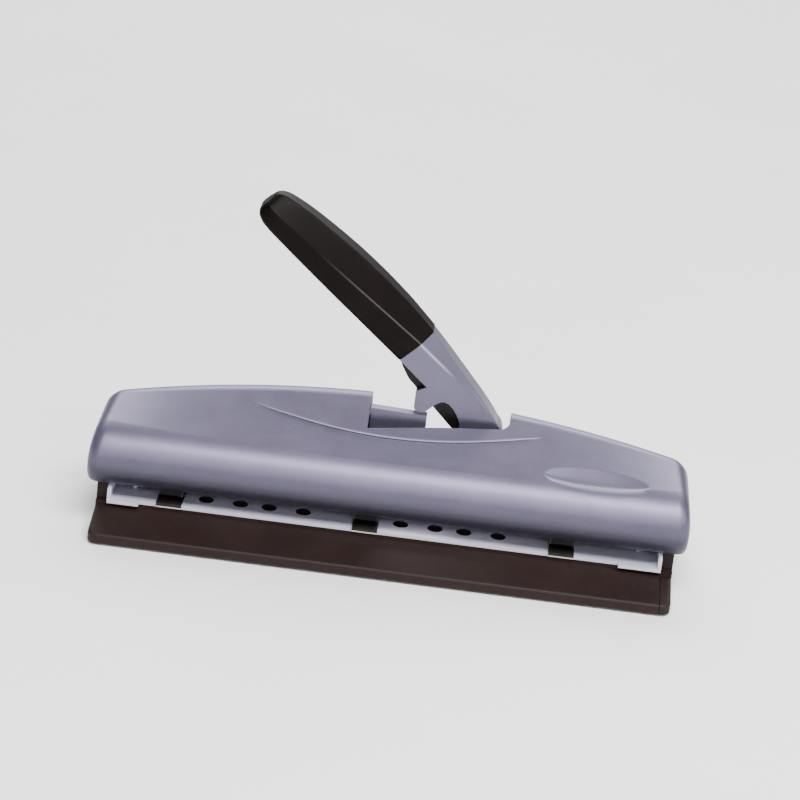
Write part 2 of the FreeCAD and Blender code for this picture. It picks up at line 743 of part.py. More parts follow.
def spring_shape(coil_radius, wire, turns, room):
    """Compression spring standing on Z: one tube along quarter-turn arcs, clear of both seats."""
    radius, thick = float(coil_radius), float(wire)
    clearance = 0.15
    low = thick / 2 + clearance
    rise = room - thick - 2 * clearance
    halves = round(float(turns) * 2)
    pitch = rise * 2 / halves
    stations = []
    for step in range(halves + 1):
        turned = math.pi * step
        place = Vector(radius * math.cos(turned), radius * math.sin(turned), low + pitch * step / 2)
        way = Vector(-radius * math.sin(turned), radius * math.cos(turned), pitch / (2 * math.pi))
        stations.append((place, way.normalize()))
    arcs = []
    for (start, start_way), (end, end_way) in zip(stations, stations[1:]):
        arcs.extend(arc_pair(start, start_way, end, end_way))
    path = Part.Wire(arcs)
    ring = Part.Circle(stations[0][0], stations[0][1], thick / 2)
    tube = path.makePipeShell([Part.Wire([ring.toShape()])], True)
    gap = self_gap(path, 2 * math.pi * radius, thick)
    print(f"spring of {halves / 2:.1f} turns, least gap to itself {gap:.2f} mm")
    return tube


# Guide posts, their clips, lift springs, presser bar and saddle.

def make_posts():
    round_piece("guide_posts", "XY_Plane", post_places(), (
        (size["post_radius"] - 1.0, deck, size["plate_thickness"]),
        (size["post_radius"], plate_top, size["post_length"]),
    ))
    clip_low = presser_top + size["rocker_gap"]
    clips = round_piece("post_clips", "XY_Plane", post_places(), (
        (size["post_radius"] + 2.0, clip_low, size["clip_thickness"]),
    ))
    bore_through(clips, "XY_Plane", clip_low - 1.0, sized(3), post_places(), size["post_radius"])
    springs = []
    for across, along in post_places():
        coil = spring_shape(size["lift_coil"], size["lift_wire"], size["lift_turns"],
                            float(size["presser_height"]))
        coil.translate(Vector(float(across), float(along), float(plate_top)))
        springs.append(coil)
    shape_piece("lift_springs", Part.makeCompound(springs))


def saddle_span():
    """Left and right faces of the saddle, under the rocker's foot pin."""
    foot_x = rocker_x + size["foot_arm"] * cosine(size["foot_rise"])
    return foot_x - 6.0, foot_x + 4.0


def make_presser():
    body = new_body("presser_bar")
    web = box_outline(-presser_half, presser_half, presser_front, presser_back)
    add(body, "XY_Plane", presser_under, size["presser_thickness"], web)
    left, right = saddle_span()
    tongue = box_outline(left, right, presser_back - 1.0, lever_y + 6.0)
    add(body, "XY_Plane", presser_under, size["presser_thickness"], tongue)
    bore_through(body, "XY_Plane", presser_under - 1.0, size["presser_thickness"] + 2.0, post_places(),
                 size["post_radius"] + size["slide_gap"])
    saddle = new_body("presser_saddle")
    foot_z = rocker_z + size["foot_arm"] * sine(size["foot_rise"])
    saddle_top = foot_z - size["foot_pin_radius"] - size["rocker_gap"]
    seat = box_outline(left, right, lever_y - 5.0, lever_y + 5.0)
    add(saddle, "XY_Plane", presser_top, saddle_top - presser_top, seat)


# Pivot bracket, rocker bracket, their pins and rivets.

def pivot_bracket_rivets():
    return [(pivot_x, lever_y + 7.2 * side) for side in (-1, 1)]


def rocker_bracket_rivets():
    return [(rocker_x + 3.5 * side, lever_y) for side in (-1, 1)]


def make_bracket(label, middle_x, half_length, cheek_inner, foot_half, pin_z, head_radius,
                 pin_radius, rivets):
    """Bracket with a foot on the die plate and two cheeks that hold a pin along Y."""
    body = new_body(label)
    sheet = size["bracket_sheet"]
    near, far = lever_y - foot_half, lever_y + foot_half
    foot = box_outline(middle_x - half_length, middle_x + half_length, near, far)
    add(body, "XY_Plane", plate_top, sheet, foot)
    cheek = (
        (middle_x - half_length, plate_top),
        (middle_x - half_length, plate_top + 14.0),
        (middle_x - head_radius, pin_z),
        (middle_x - head_radius * 0.6, pin_z + head_radius * 0.8),
        (middle_x + head_radius * 0.6, pin_z + head_radius * 0.8),
        (middle_x + head_radius, pin_z),
        (middle_x + half_length, plate_top + 14.0),
        (middle_x + half_length, plate_top),
    )
    for face in (lever_y - cheek_inner - sheet, lever_y + cheek_inner):
        add(body, "XZ_Plane", face, sheet, cheek)
    bore_across(body, middle_x, pin_z, pin_radius)
    bore_through(body, "XY_Plane", plate_top - 1.0, sheet + 2.0, rivets, size["screw_radius"])
    return body


def make_brackets():
    make_bracket("pivot_bracket", pivot_x, sized(12), sized(1.6), sized(10.5), pivot_z, sized(6.5),
                 size["pivot_radius"], pivot_bracket_rivets())
    make_bracket("rocker_bracket", rocker_x, sized(6.5), sized(6.4), sized(8.4), rocker_z, sized(5.2),
                 size["rocker_pin_radius"], rocker_bracket_rivets())
    head = size["screw_head_height"]
    foot_top = plate_top + size["bracket_sheet"]
    round_piece("bracket_rivets", "XY_Plane", pivot_bracket_rivets() + rocker_bracket_rivets(), (
        (size["screw_radius"], deck, foot_top - deck),
        (size["screw_head"], foot_top, head),
    ))
    inner = size["root_width"] / 2 - size["shroud_wall"] - 0.2
    round_piece("lever_pivot_pin", "XZ_Plane", [(pivot_x, pivot_z)], (
        (size["pivot_radius"], lever_y - inner, inner * 2),
    ))
    face = sized(6.4) + size["bracket_sheet"]
    round_piece("rocker_pin", "XZ_Plane", [(rocker_x, rocker_z)], (
        (size["rocker_pin_radius"], lever_y - face - 0.3, face * 2 + 1.1),
        (size["rocker_pin_radius"] + 1.4, lever_y - face - 0.9, sized(0.9)),
    ))
    clip = round_piece("rocker_clip", "XZ_Plane", [(rocker_x, rocker_z)], (
        (size["rocker_pin_radius"] + 1.4, lever_y + face, sized(0.8)),
    ))
    bore_through(clip, "XZ_Plane", lever_y, sized(20), [(rocker_x, rocker_z)], size["rocker_pin_radius"])


# Rocker with its foot pin.

def rocker_top(across):
    """Height of the rocker's top at a place, one gap below the knuckle."""
    knuckle_x, knuckle_z = knuckle_place()
    slope = size["rocker_slope"]
    reach = size["knuckle_radius"] + size["rocker_gap"]
    level = knuckle_z - reach / cosine(slope)
    return level - (across - knuckle_x) * sine(slope) / cosine(slope)


def knuckle_place():
    """Centre of the knuckle at rest."""
    lean = size["lever_lean"]
    along, below = size["knuckle_reach"], size["knuckle_drop"]
    across = pivot_x - along * cosine(lean) - below * sine(lean)
    height = pivot_z + along * sine(lean) - below * cosine(lean)
    return across, height


def foot_place():
    across = rocker_x + size["foot_arm"] * cosine(size["foot_rise"])
    height = rocker_z + size["foot_arm"] * sine(size["foot_rise"])
    return across, height


def make_rocker():
    body = new_body("rocker")
    front = lever_y - size["rocker_width"] / 2 - 0.5
    left = size["notch_left"] + 0.5
    right = knuckle_place()[0] + 3.9
    foot_x, foot_z = foot_place()
    shelf = rocker_top(left) - size["rib_height"]
    wedge = (
        (left, shelf),
        (right - 1.0, shelf),
        (right - 1.0, rocker_z + 2.0),
        (foot_x + 12.0, rocker_z - 1.5),
        (foot_x + 4.2, foot_z + 0.8),
        (left, foot_z + 0.8),
    )
    add(body, "XZ_Plane", front, size["rocker_width"], wedge)
    rib = (
        (left, rocker_top(left)),
        (right, rocker_top(right)),
        (right, rocker_z + 4.0),
        (foot_x + 12.0, rocker_z - 1.5),
        (foot_x + 7.0, rocker_z - 5.0),
        (left + 5.0, rocker_z - 5.0),
        (left, rocker_z - 1.0),
    )
    add(body, "XZ_Plane", front, size["rib_width"], rib)
    hub = size["rocker_pin_radius"] + 2.0
    arm_half = sized(6.1)
    add(body, "XZ_Plane", lever_y - arm_half, arm_half * 2, circles=((rocker_x, rocker_z, hub),))
    arm = (
        (rocker_x, rocker_z - hub),
        (rocker_x + hub + 2.0, foot_z - 1.0),
        (foot_x - 4.5, foot_z),
        (foot_x + 5.0, foot_z),
        (foot_x + 5.0, foot_z + 5.0),
        (rocker_x, rocker_z + hub),
    )
    add(body, "XZ_Plane", lever_y - arm_half, arm_half * 2, arm)
    bore_across(body, rocker_x, rocker_z, size["rocker_pin_radius"] + size["slide_gap"])
    bore_through(body, "XZ_Plane", lever_y - 7.0, sized(14), [foot_place()], size["foot_pin_radius"])
    round_piece("rocker_foot_pin", "XZ_Plane", [foot_place()], (
        (size["foot_pin_radius"], lever_y - 7.0, sized(14)),
    ))


# Lever: shapes are drawn with the pivot at the origin and the lever lying along plus X,
# then turned up by its lean and carried to the pivot.

def lever_placement():
    """Turn the lever's own frame (along, up) to lean up to the left, and carry it to the pivot."""
    lean = math.radians(float(size["lever_lean"]))
    along = Vector(-math.cos(lean), 0, math.sin(lean))
    upward = Vector(math.sin(lean), 0, math.cos(lean))
    across = along.cross(upward) * -1
    move = FreeCAD.Matrix(
        along.x, across.x, upward.x, float(pivot_x),
        along.y, across.y, upward.y, float(lever_y),
        along.z, across.z, upward.z, float(pivot_z),
        0, 0, 0, 1)
    return move


def side_prism(points, half_width):
    """Prism across the lever from a closed outline of (along, up) points."""
    corners = [Vector(along, -half_width, up) for along, up in points]
    face = Part.Face(Part.makePolygon(corners + corners[:1]))
    return face.extrude(Vector(0, 2 * half_width, 0))


def cross_bar(along, up, radius, half_width):
    return Part.makeCylinder(radius, 2 * half_width, Vector(along, -half_width, up), Vector(0, 1, 0))


def rounded_section(along, corners, radius):
    """Closed wire across the lever at one place along it, with every corner rounded."""
    points = [Vector(along, across, up) for across, up in corners]
    edges = []
    ends = []
    for index, corner in enumerate(points):
        before = (points[index - 1] - corner).normalize()
        after = (points[(index + 1) % len(points)] - corner).normalize()
        half = before.getAngle(after) / 2
        reach = radius / math.tan(half)
        middle = (before + after).normalize() * (radius / math.sin(half) - radius)
        start, end = corner + before * reach, corner + after * reach
        ends.append((start, end))
        edges.append(Part.Arc(start, corner + middle, end).toShape())
    for index, (_, end) in enumerate(ends):
        start = ends[(index + 1) % len(ends)][0]
        edges.append(Part.LineSegment(end, start).toShape())
    return Part.Wire(Part.__sortEdges__(edges))


def bevelled(half_width, low, ridge, crown, crown_half):
    """Corners of a bevelled section, from its low edge round over the crown."""
    return (
        (-half_width, low),
        (-half_width, ridge),
        (-crown_half, crown),
        (crown_half, crown),
        (half_width, ridge),
        (half_width, low),
    )


# Stations along the shroud: place, half width, ridge height, crown height, half width of the crown.
SHROUD_STATIONS = (
    (-1.0, 8.0, 10.4, 11.2, 7.2),
    (11.0, 8.6, 12.0, 13.3, 7.4),
    (31.0, 9.8, 11.4, 15.0, 7.2),
    (50.0, 11.0, 9.8, 16.4, 6.6),
    (63.7, 11.5, 8.6, 17.0, 6.0),
)


def shroud_scales():
    """How far the stations stretch along the lever and across it for the sizes in the sheet."""
    stretch = float(size["shroud_length"]) / SHROUD_STATIONS[-1][0]
    widen = float(size["lever_width"]) / 2 / SHROUD_STATIONS[-1][1]
    return stretch, widen


def shroud_loft(inset, low, extra=0.0):
    """Bevelled bar of the shroud, or its inside when an inset is given."""
    stretch, widen = shroud_scales()
    sections = []
    for along, half, ridge, crown, crown_half in SHROUD_STATIONS:
        place = along * stretch
        if along == SHROUD_STATIONS[-1][0]:
            place += extra
        corners = bevelled(half * widen - inset, low, ridge - inset * 0.4, crown - inset,
                           crown_half * widen - inset * 0.6)
        sections.append(rounded_section(place, corners, 0.6))
    return Part.makeLoft(sections, True, False)


def make_shroud():
    wall = float(size["shroud_wall"])
    half = float(size["lever_width"]) / 2
    root_half = float(size["root_width"]) / 2
    root = float(size["arm_root"]) + 2.9
    knuckle = float(size["knuckle_radius"])
    reach, drop = float(size["knuckle_reach"]), float(size["knuckle_drop"])
    length = float(size["shroud_length"])
    flank = knuckle * math.sqrt(0.5)
    outer = shroud_loft(0.0, -22.0)
    outer = outer.fuse(cross_bar(0, 0, root, root_half))
    lower_cut = side_prism((
        (length + 2, -6.2), (reach + 6.8, -4.8), (reach + 8.8, -10.8), (reach + flank, -drop - flank),
        (reach + flank, -40), (length + 2, -40)), half + 5)
    outer = outer.cut(lower_cut)
    arch_cut = side_prism((
        (reach - knuckle, -drop), (reach - knuckle, -8.2), (30.3, -4.2), (29.0, -2.6), (26.6, -1.6),
        (22.6, -1.5), (19.0, -2.3), (15.6, -3.5), (12.9, -5.0), (11.6, -7.0), (11.2, -9.5),
        (11.2, -40), (reach - knuckle, -40)), half + 5)
    outer = outer.cut(arch_cut)
    nose_room = side_prism((
        (reach - knuckle, -drop), (reach, -drop), (reach + flank, -drop - flank),
        (reach + flank, -40), (reach - knuckle, -40)), half + 5)
    outer = outer.cut(nose_room)
    tail = side_prism(((-30, -3), (-root, -3), (-root, -root), (12, -root), (12, -40), (-30, -40)), half + 5)
    outer = outer.cut(tail)
    nose_half = nose_half_width()
    outer = outer.fuse(cross_bar(reach, -drop, knuckle, nose_half))
    cavity = shroud_loft(wall, -10.7, extra=3.0)
    cavity = cavity.fuse(cross_bar(0, 0, root - wall, root_half - wall))
    cavity = cavity.fuse(side_prism(
        ((-20, 1.5), (2, 1.5), (11.2, -3), (16, -9), (16, -40), (-20, -40)), root_half - wall))
    shape = largest_solid(outer.cut(cavity).removeSplitter())
    shape.transformShape(lever_placement())
    shape_piece("lever_shroud", shape)


def nose_half_width():
    """Half width of the shroud at the knuckle, between its neighbouring stations."""
    stretch, widen = shroud_scales()
    reach = float(size["knuckle_reach"])
    before, after = SHROUD_STATIONS[2], SHROUD_STATIONS[3]
    share = (reach / stretch - before[0]) / (after[0] - before[0])
    return (before[1] + (after[1] - before[1]) * share) * widen


def largest_solid(shape):
    return max(shape.Solids, key=lambda solid: solid.Volume)


def arm_outline():
    """Side outline of the lever arm and its tongue inside the grip."""
    length = float(size["shroud_length"])
    return (
        (0.0, -8.5), (14.0, -10.2), (length - 12.2, -10.5), (length - 4.7, -8.6), (length - 0.7, -6.8),
        (length - 0.7, -4.6), (length + 70.0, -6.0), (length + 70.0, 0.5), (length, 6.4), (43.7, 9.8),
        (20.0, 10.6), (0.0, 8.5))


def make_arm():
    wall = float(size["shroud_wall"])
    half = float(size["root_width"]) / 2 - wall
    sheet = float(size["arm_sheet"])
    root = float(size["arm_root"])
    length = float(size["shroud_length"])
    body = side_prism(arm_outline(), half).fuse(cross_bar(0, 0, root, half))
    room = side_prism((
        (-20, -20), (length - 4, -20), (length - 4, 4.6), (43.7, 9.8 - sheet), (20, 10.6 - sheet),
        (0, 8.5 - sheet * 0.7), (-20, 8.5 - sheet * 0.7)), half - sheet)
    body = body.cut(room)
    bush = float(size["pivot_radius"]) + float(size["bush_wall"])
    body = body.cut(cross_bar(0, 0, bush, half + 1))
    shape = largest_solid(body.removeSplitter())
    shape.transformShape(lever_placement())
    shape_piece("lever_arm", shape)


def make_bushes():
    wall = size["shroud_wall"]
    sheet = size["arm_sheet"] + 0.3
    half = size["root_width"] / 2 - wall
    outer = size["pivot_radius"] + size["bush_wall"]
    body = new_body("lever_bushes")
    for face in (lever_y - half, lever_y + half - sheet):
        add(body, "XZ_Plane", face, sheet, circles=((pivot_x, pivot_z, outer),))
    bore_across(body, pivot_x, pivot_z, size["pivot_radius"] + size["slide_gap"] * 0.5)


# Stations along the grip, as shares of its length: low edge, ridge, crown, crown half width, width share.
GRIP_STATIONS = (
    (0.0, -6.8, 9.0, 17.6, 6.2, 1.03),
    (0.22, -9.0, 5.4, 17.2, 6.6, 1.07),
    (0.5, -11.8, 1.2, 14.2, 6.8, 1.12),
    (0.78, -14.6, -3.6, 8.6, 6.2, 1.08),
    (0.94, -15.8, -6.6, 3.8, 5.0, 0.96),
    (1.0, -14.2, -7.4, 0.2, 3.4, 0.70),
)


def make_grip():
    start = float(size["shroud_length"])
    length = float(size["grip_length"])
    half = float(size["lever_width"]) / 2
    sections = []
    for share, low, ridge, crown, crown_half, width in GRIP_STATIONS:
        corners = bevelled(half * width, low, ridge, crown, crown_half)
        sections.append(rounded_section(start + length * share, corners, 2.2))
    shape = Part.makeLoft(sections, True, False)
    tongue = side_prism(arm_outline(), float(size["root_width"]) / 2 - float(size["shroud_wall"]))
    shape = largest_solid(shape.cut(tongue).removeSplitter())
    shape.transformShape(lever_placement())
    shape_piece("lever_grip", shape)


# Top cover: outer and inner lofts through the same sections, ledge, notch, dish and screw bosses.

def cover_section(across, inset):
    """Closed section of the cover at a place along it, drawn in by an inset."""
    front = float(base_front)
    share = across / float(cover_half)
    crest_y = front + float(size["crest_place"]) - float(size["crest_lead"]) * share ** 2
    crest_z = float(deck + size["crest_height"]) - float(size["crest_drop"]) * share ** 2
    belly_y = front + float(size["cover_front"])
    belly_z = float(deck + size["cover_belly"])
    low_radius = float(size["belly_low"]) - inset
    high_radius = float(size["belly_high"]) - inset
    crest_radius = float(size["crest_radius"]) - inset
    bottom = float(deck + size["cover_bottom"]) - (1.0 if inset > 1 else 0.0)
    low_centre = Vector(across, belly_y + low_radius + inset, belly_z)
    high_centre = Vector(across, belly_y + high_radius + inset, belly_z)
    crest_centre = Vector(across, crest_y, crest_z - crest_radius - inset)
    turn = math.asin((belly_z - bottom) / low_radius)
    foot = on_circle(low_centre, low_radius, math.pi + turn)
    low_middle = on_circle(low_centre, low_radius, math.pi + turn / 2)
    foremost = on_circle(low_centre, low_radius, math.pi)
    run = crest_centre - high_centre
    span = math.hypot(run.y, run.z)
    normal = math.atan2(run.z, run.y) + math.acos((high_radius - crest_radius) / span)
    high_middle = on_circle(high_centre, high_radius, (math.pi + normal) / 2)
    slope_low = on_circle(high_centre, high_radius, normal)
    slope_high = on_circle(crest_centre, crest_radius, normal)
    back_y = front + float(size["cover_back"])
    back_foot = Vector(across, back_y, float(deck) + 0.5)
    fall = back_foot - crest_centre
    reach = math.hypot(fall.y, fall.z)
    back_normal = math.atan2(fall.z, fall.y) + math.acos((crest_radius + inset) / reach)
    crest_middle = on_circle(crest_centre, crest_radius, (normal + back_normal) / 2)
    back_high = on_circle(crest_centre, crest_radius, back_normal)
    back_low = back_foot - Vector(0, math.cos(back_normal), math.sin(back_normal)) * inset
    skirt = float(size["cover_wall"]) + 3.0
    drop = 1.0 if inset > 1 else 0.0
    skirt_low = Vector(across, back_low.y - skirt, back_low.z - drop)
    back_low = back_low - Vector(0, 0, drop)
    skirt_high = Vector(across, skirt_low.y - 2.0, bottom)
    points = (skirt_low, skirt_high, foot)
    edges = [
        Part.Arc(foot, low_middle, foremost).toShape(),
        Part.Arc(foremost, high_middle, slope_low).toShape(),
        Part.LineSegment(slope_low, slope_high).toShape(),
        Part.Arc(slope_high, crest_middle, back_high).toShape(),
        Part.LineSegment(back_high, back_low).toShape(),
        Part.LineSegment(back_low, skirt_low).toShape(),
        Part.LineSegment(points[0], points[1]).toShape(),
        Part.LineSegment(points[1], points[2]).toShape(),
    ]
    return Part.Wire(edges)


def on_circle(centre, radius, angle):
    return centre + Vector(0, math.cos(angle) * radius, math.sin(angle) * radius)


def cover_loft(places, insets):
    sections = [cover_section(across, inset) for across, inset in zip(places, insets)]
    return Part.makeLoft(sections, True, False)


def spread(low, high, count):
    return [low + (high - low) * index / (count - 1) for index in range(count)]


def slope_point(across, setback):
    """Point on the cover's outer slope at a place, a distance behind the base's front."""
    start, end = slope_ends(across)
    share = (float(base_front) + setback - start.y) / (end.y - start.y)
    return start + (end - start) * share


def slope_ends(across):
    """Lower and upper end of the straight slope in the cover's section at a place."""
    line = cover_section(across, 0.0).Edges[2]
    return line.Vertexes[0].Point, line.Vertexes[1].Point


def ledge_bar():
    """Thin wedge on the slope: a step along a curved front edge, running out at the crest."""
    half = float(size["ledge_half"])
    height = float(size["ledge_height"])
    sag = float(size["ledge_sag"])
    radius = (half ** 2 + sag ** 2) / (2 * sag)
    middle = -1.0
    sections = []
    for place in spread(-half, half, 13):
        setback = float(size["ledge_front"]) + radius - math.sqrt(radius ** 2 - place ** 2)
        across = middle + place
        front = slope_point(across, setback)
        crest = slope_ends(across)[1]
        uphill = (crest - front).normalize()
        outward = Vector(0, -uphill.z, uphill.y)
        rise = height * (1 - (place / half) ** 6) + 0.04
        corners = (front - outward, front, front + uphill * 0.4 + outward * rise, crest, crest - outward)
        sections.append(Part.makePolygon(corners + corners[:1]))
    return Part.makeLoft(sections, True, False)


def notch_tool():
    """Prism of the notch: straight side walls, a bowed front and one rounded corner, open at the back."""
    left, right = float(size["notch_left"]), float(size["notch_right"])
    corner = float(size["notch_corner"])
    front = float(base_front)
    low = Vector(left, front + 52.0, 0)
    middle = Vector(left + 31.0, front + 57.2, 0)
    high = Vector(right - corner, front + 62.0, 0)
    bend = Vector(right - corner * 0.29, front + 62.0 + corner * 0.33, 0)
    side = Vector(right, front + 62.0 + corner * 1.1, 0)
    back_right = Vector(right, 70, 0)
    back_left = Vector(left, 70, 0)
    edges = [
        Part.Arc(low, middle, high).toShape(),
        Part.Arc(high, bend, side).toShape(),
        Part.LineSegment(side, back_right).toShape(),
        Part.LineSegment(back_right, back_left).toShape(),
        Part.LineSegment(back_left, low).toShape(),
    ]
    face = Part.Face(Part.Wire(edges))
    prism = face.extrude(Vector(0, 0, 90))
    prism.translate(Vector(0, 0, float(deck) + 32.0))
    return prism


def dish_tool():
    """Flat ellipsoid laid on the slope for the oval dish."""
    place, setback = float(size["dish_place"]), float(size["dish_set"])
    point = slope_point(place, setback)
    along = (slope_point(place + 20, setback) - slope_point(place - 20, setback)).normalize()
    uphill = (slope_point(place, setback + 5) - slope_point(place, setback - 5)).normalize()
    normal = along.cross(uphill).normalize()
    uphill = normal.cross(along)
    half_length, half_height = float(size["dish_length"]) / 2, float(size["dish_height"]) / 2
    depth = float(size["dish_depth"])
    shape = FreeCAD.Matrix(
        along.x * half_length, uphill.x * half_height, normal.x * depth, point.x,
        along.y * half_length, uphill.y * half_height, normal.y * depth, point.y,
        along.z * half_length, uphill.z * half_height, normal.z * depth, point.z,
        0, 0, 0, 1)
    return Part.makeSphere(1.0).transformGeometry(shape)


def lean_ends(shape, inset):
    """Cut both ends of the cover's body along an arc that leans in from the foremost line up."""
    half = float(cover_half) - inset
    low = float(deck + size["cover_belly"])
    rise = float(size["crest_height"] - size["crest_drop"] - size["cover_belly"])
    lean = float(size["end_lean"])
    turn = 2 * math.atan(lean / rise)
    radius = rise / math.sin(turn)
    for side in (-1, 1):
        arc = []
        for share in (0.0, 0.75, 1.5):
            angle = turn * share
            across = side * (half - radius * (1 - math.cos(angle)))
            arc.append(Vector(across, -70, low + radius * math.sin(angle)))
        outside = side * (half + 40)
        top = Vector(outside, -70, arc[2].z)
        bottom = Vector(outside, -70, low)
        edges = [
            Part.Arc(arc[0], arc[1], arc[2]).toShape(),
            Part.LineSegment(arc[2], top).toShape(),
            Part.LineSegment(top, bottom).toShape(),
            Part.LineSegment(bottom, arc[0]).toShape(),
        ]
        shape = shape.cut(Part.Face(Part.Wire(edges)).extrude(Vector(0, 140, 0)))
    return shape


def make_cover():
    half = float(cover_half)
    wall = float(size["cover_wall"])
    corner = float(size["cover_corner"])
    outer = lean_ends(cover_loft(spread(-half, half, 7), [0.0] * 7), 0.0)
    ends = []
    for edge in outer.Edges:
        box = edge.BoundBox
        at_end = box.XLength < float(size["end_lean"]) * 3 and abs(box.Center.x) > half - 12
        bottom = box.ZMax < float(deck + size["cover_bottom"]) + 0.1
        across_end = abs(box.ZMax - box.ZMin) < 1e-3 and box.YLength > 20
        if at_end and not bottom and not across_end:
            ends.append(edge)
    outer = outer.makeFillet(corner, ends)
    inner = lean_ends(cover_loft(spread(-half + wall, half - wall, 7), [wall] * 7), wall)
    shell = outer.fuse(ledge_bar()).cut(inner)
    for across, along in cover_screw_places():
        foot = Vector(float(across), float(along), float(deck + size["pillar_height"]) + 0.3)
        boss = Part.makeCylinder(float(size["boss_radius"]), 60, foot)
        shell = shell.fuse(boss.common(outer))
    shell = shell.cut(notch_tool())
    shell = shell.cut(dish_tool())
    for across, along in cover_screw_places():
        bore = Part.makeCylinder(float(size["boss_screw"]), 7.2,
                                 Vector(float(across), float(along), float(deck + size["pillar_height"])))
        shell = shell.cut(bore)
    shape_piece("top_cover", largest_solid(shell.removeSplitter()))


def make_cover_screws():
    head = size["screw_head_height"]
    round_piece("cover_screws", "XY_Plane", cover_screw_places(), (
        (size["boss_screw_head"], deck - head, head),
        (size["boss_screw"], deck, size["pillar_height"] + 7.0),
    ))


def check_document():
    """Stop when a feature failed, a cut removed nothing or a piece is not a sound solid."""
    doc.recompute()
    for thing in doc.Objects:
        if "Invalid" in thing.State or "Error" in thing.State:
            raise RuntimeError(f"{thing.Label} failed: {thing.State}")
        if thing.TypeId == "PartDesign::Pocket":
            before = thing.BaseFeature.Shape.Volume
            if before - thing.Shape.Volume < 1e-3:
                raise RuntimeError(f"{thing.Label} cuts nothing")
    for piece in pieces:
        shape = piece.Shape
        if shape.isNull() or not shape.isValid() or not shape.Solids:
            raise RuntimeError(f"{piece.Label} is not a sound solid")


def write_pieces():
    os.makedirs("parts", exist_ok=True)
    for piece in pieces:
        piece.Shape.exportStep(f"parts/{piece.Label}.step")
        box = piece.Shape.BoundBox
        print(f"{piece.Label}: {len(piece.Shape.Solids)} solids, {piece.Shape.Volume:.1f} mm3, "
              f"{box.XLength:.1f} x {box.YLength:.1f} x {box.ZLength:.1f} mm")


make_base()
make_floor()
make_feet()
make_drawer()
make_die_frame()
make_rail()
make_frame_screws()
for head_name, head_place in zip(head_names, head_places):
    make_head(head_name, head_place)
make_posts()
make_presser()
make_brackets()
make_rocker()
make_shroud()
make_arm()
make_bushes()
make_grip()
make_cover()
make_cover_screws()
check_document()
write_pieces()
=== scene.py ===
"""Desk paper punch with a lever and three sliding heads: finishes, dressed pieces, light and camera."""
import json
import math
import bpy
import bmesh
from mathutils import Matrix, Vector


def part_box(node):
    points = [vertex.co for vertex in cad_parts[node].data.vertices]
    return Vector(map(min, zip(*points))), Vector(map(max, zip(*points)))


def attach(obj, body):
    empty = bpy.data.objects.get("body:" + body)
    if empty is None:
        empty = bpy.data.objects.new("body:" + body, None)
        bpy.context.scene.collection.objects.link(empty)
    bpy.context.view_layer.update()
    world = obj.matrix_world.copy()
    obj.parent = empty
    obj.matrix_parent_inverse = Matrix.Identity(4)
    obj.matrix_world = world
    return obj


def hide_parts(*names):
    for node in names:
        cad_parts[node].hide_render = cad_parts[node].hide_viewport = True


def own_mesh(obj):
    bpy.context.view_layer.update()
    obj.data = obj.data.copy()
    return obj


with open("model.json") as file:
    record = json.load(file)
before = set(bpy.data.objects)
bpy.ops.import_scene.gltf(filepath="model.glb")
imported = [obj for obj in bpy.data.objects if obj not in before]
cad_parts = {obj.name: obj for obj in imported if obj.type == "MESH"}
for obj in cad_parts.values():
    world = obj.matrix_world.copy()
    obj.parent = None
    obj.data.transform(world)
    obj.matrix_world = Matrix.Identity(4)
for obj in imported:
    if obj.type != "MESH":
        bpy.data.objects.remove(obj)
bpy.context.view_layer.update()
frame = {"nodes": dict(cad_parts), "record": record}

# Places and sizes are in millimetres: X to the right, Y to the back, Z up from the table.

MM = 0.001
BASE_FRONT, DECK = -50.0, 15.0
# Lever: how far it leans at rest, its pivot, and where the grip starts along it.
LEVER_LEAN, PIVOT, GRIP_START = math.radians(45.0), Vector((46.5, 25.0, 63.0)), 63.7
# Raised ledge round the notch: its height, half length, sag, front edge, middle, and the circle of that edge.
LEDGE_HEIGHT, LEDGE_HALF, LEDGE_SAG = 0.9, 81.0, 14.3
LEDGE_FRONT, LEDGE_MIDDLE = BASE_FRONT + 47.4, -1.0
LEDGE_RADIUS = (LEDGE_HALF ** 2 + LEDGE_SAG ** 2) / (2 * LEDGE_SAG)
LEDGE_CENTRE = LEDGE_FRONT + LEDGE_RADIUS
# Die plate: its top, and from where to where back its holes begin.
PLATE_TOP, HOLES_FRONT = DECK + 2.0, (-17.5, -16.5)
# Head bracket's lip: how far it stands in front of the middle, and the top of its bare foot.
LIP_FRONT, LIP_FOOT = (24.0, 24.15), (16.3, 16.1)


# Shader maths.

class Wire:
    """One output socket. Arithmetic on it adds Math nodes to its finish."""

    def __init__(self, finish, socket):
        self.finish = finish
        self.socket = socket

    def sum(self, operation, *terms):
        return self.finish.node("ShaderNodeMath", {"operation": operation}, dict(enumerate(terms)))

    def __add__(self, other):
        return self.sum("ADD", self, other)

    __radd__ = __add__

    def __sub__(self, other):
        return self.sum("SUBTRACT", self, other)

    def __rsub__(self, other):
        return self.sum("SUBTRACT", other, self)

    def __mul__(self, other):
        return self.sum("MULTIPLY", self, other)

    __rmul__ = __mul__

    def __truediv__(self, other):
        return self.sum("DIVIDE", self, other)

    def __pow__(self, other):
        return self.sum("POWER", self, other)

    def size(self):
        return self.sum("ABSOLUTE", self)

    def between(self, low, high):
        """Smooth step from 0 to 1 as the value goes from low to high."""
        settings = {"interpolation_type": "SMOOTHSTEP"}
        return self.finish.node("ShaderNodeMapRange", settings, {0: self, 1: low, 2: high, 3: 0.0, 4: 1.0})


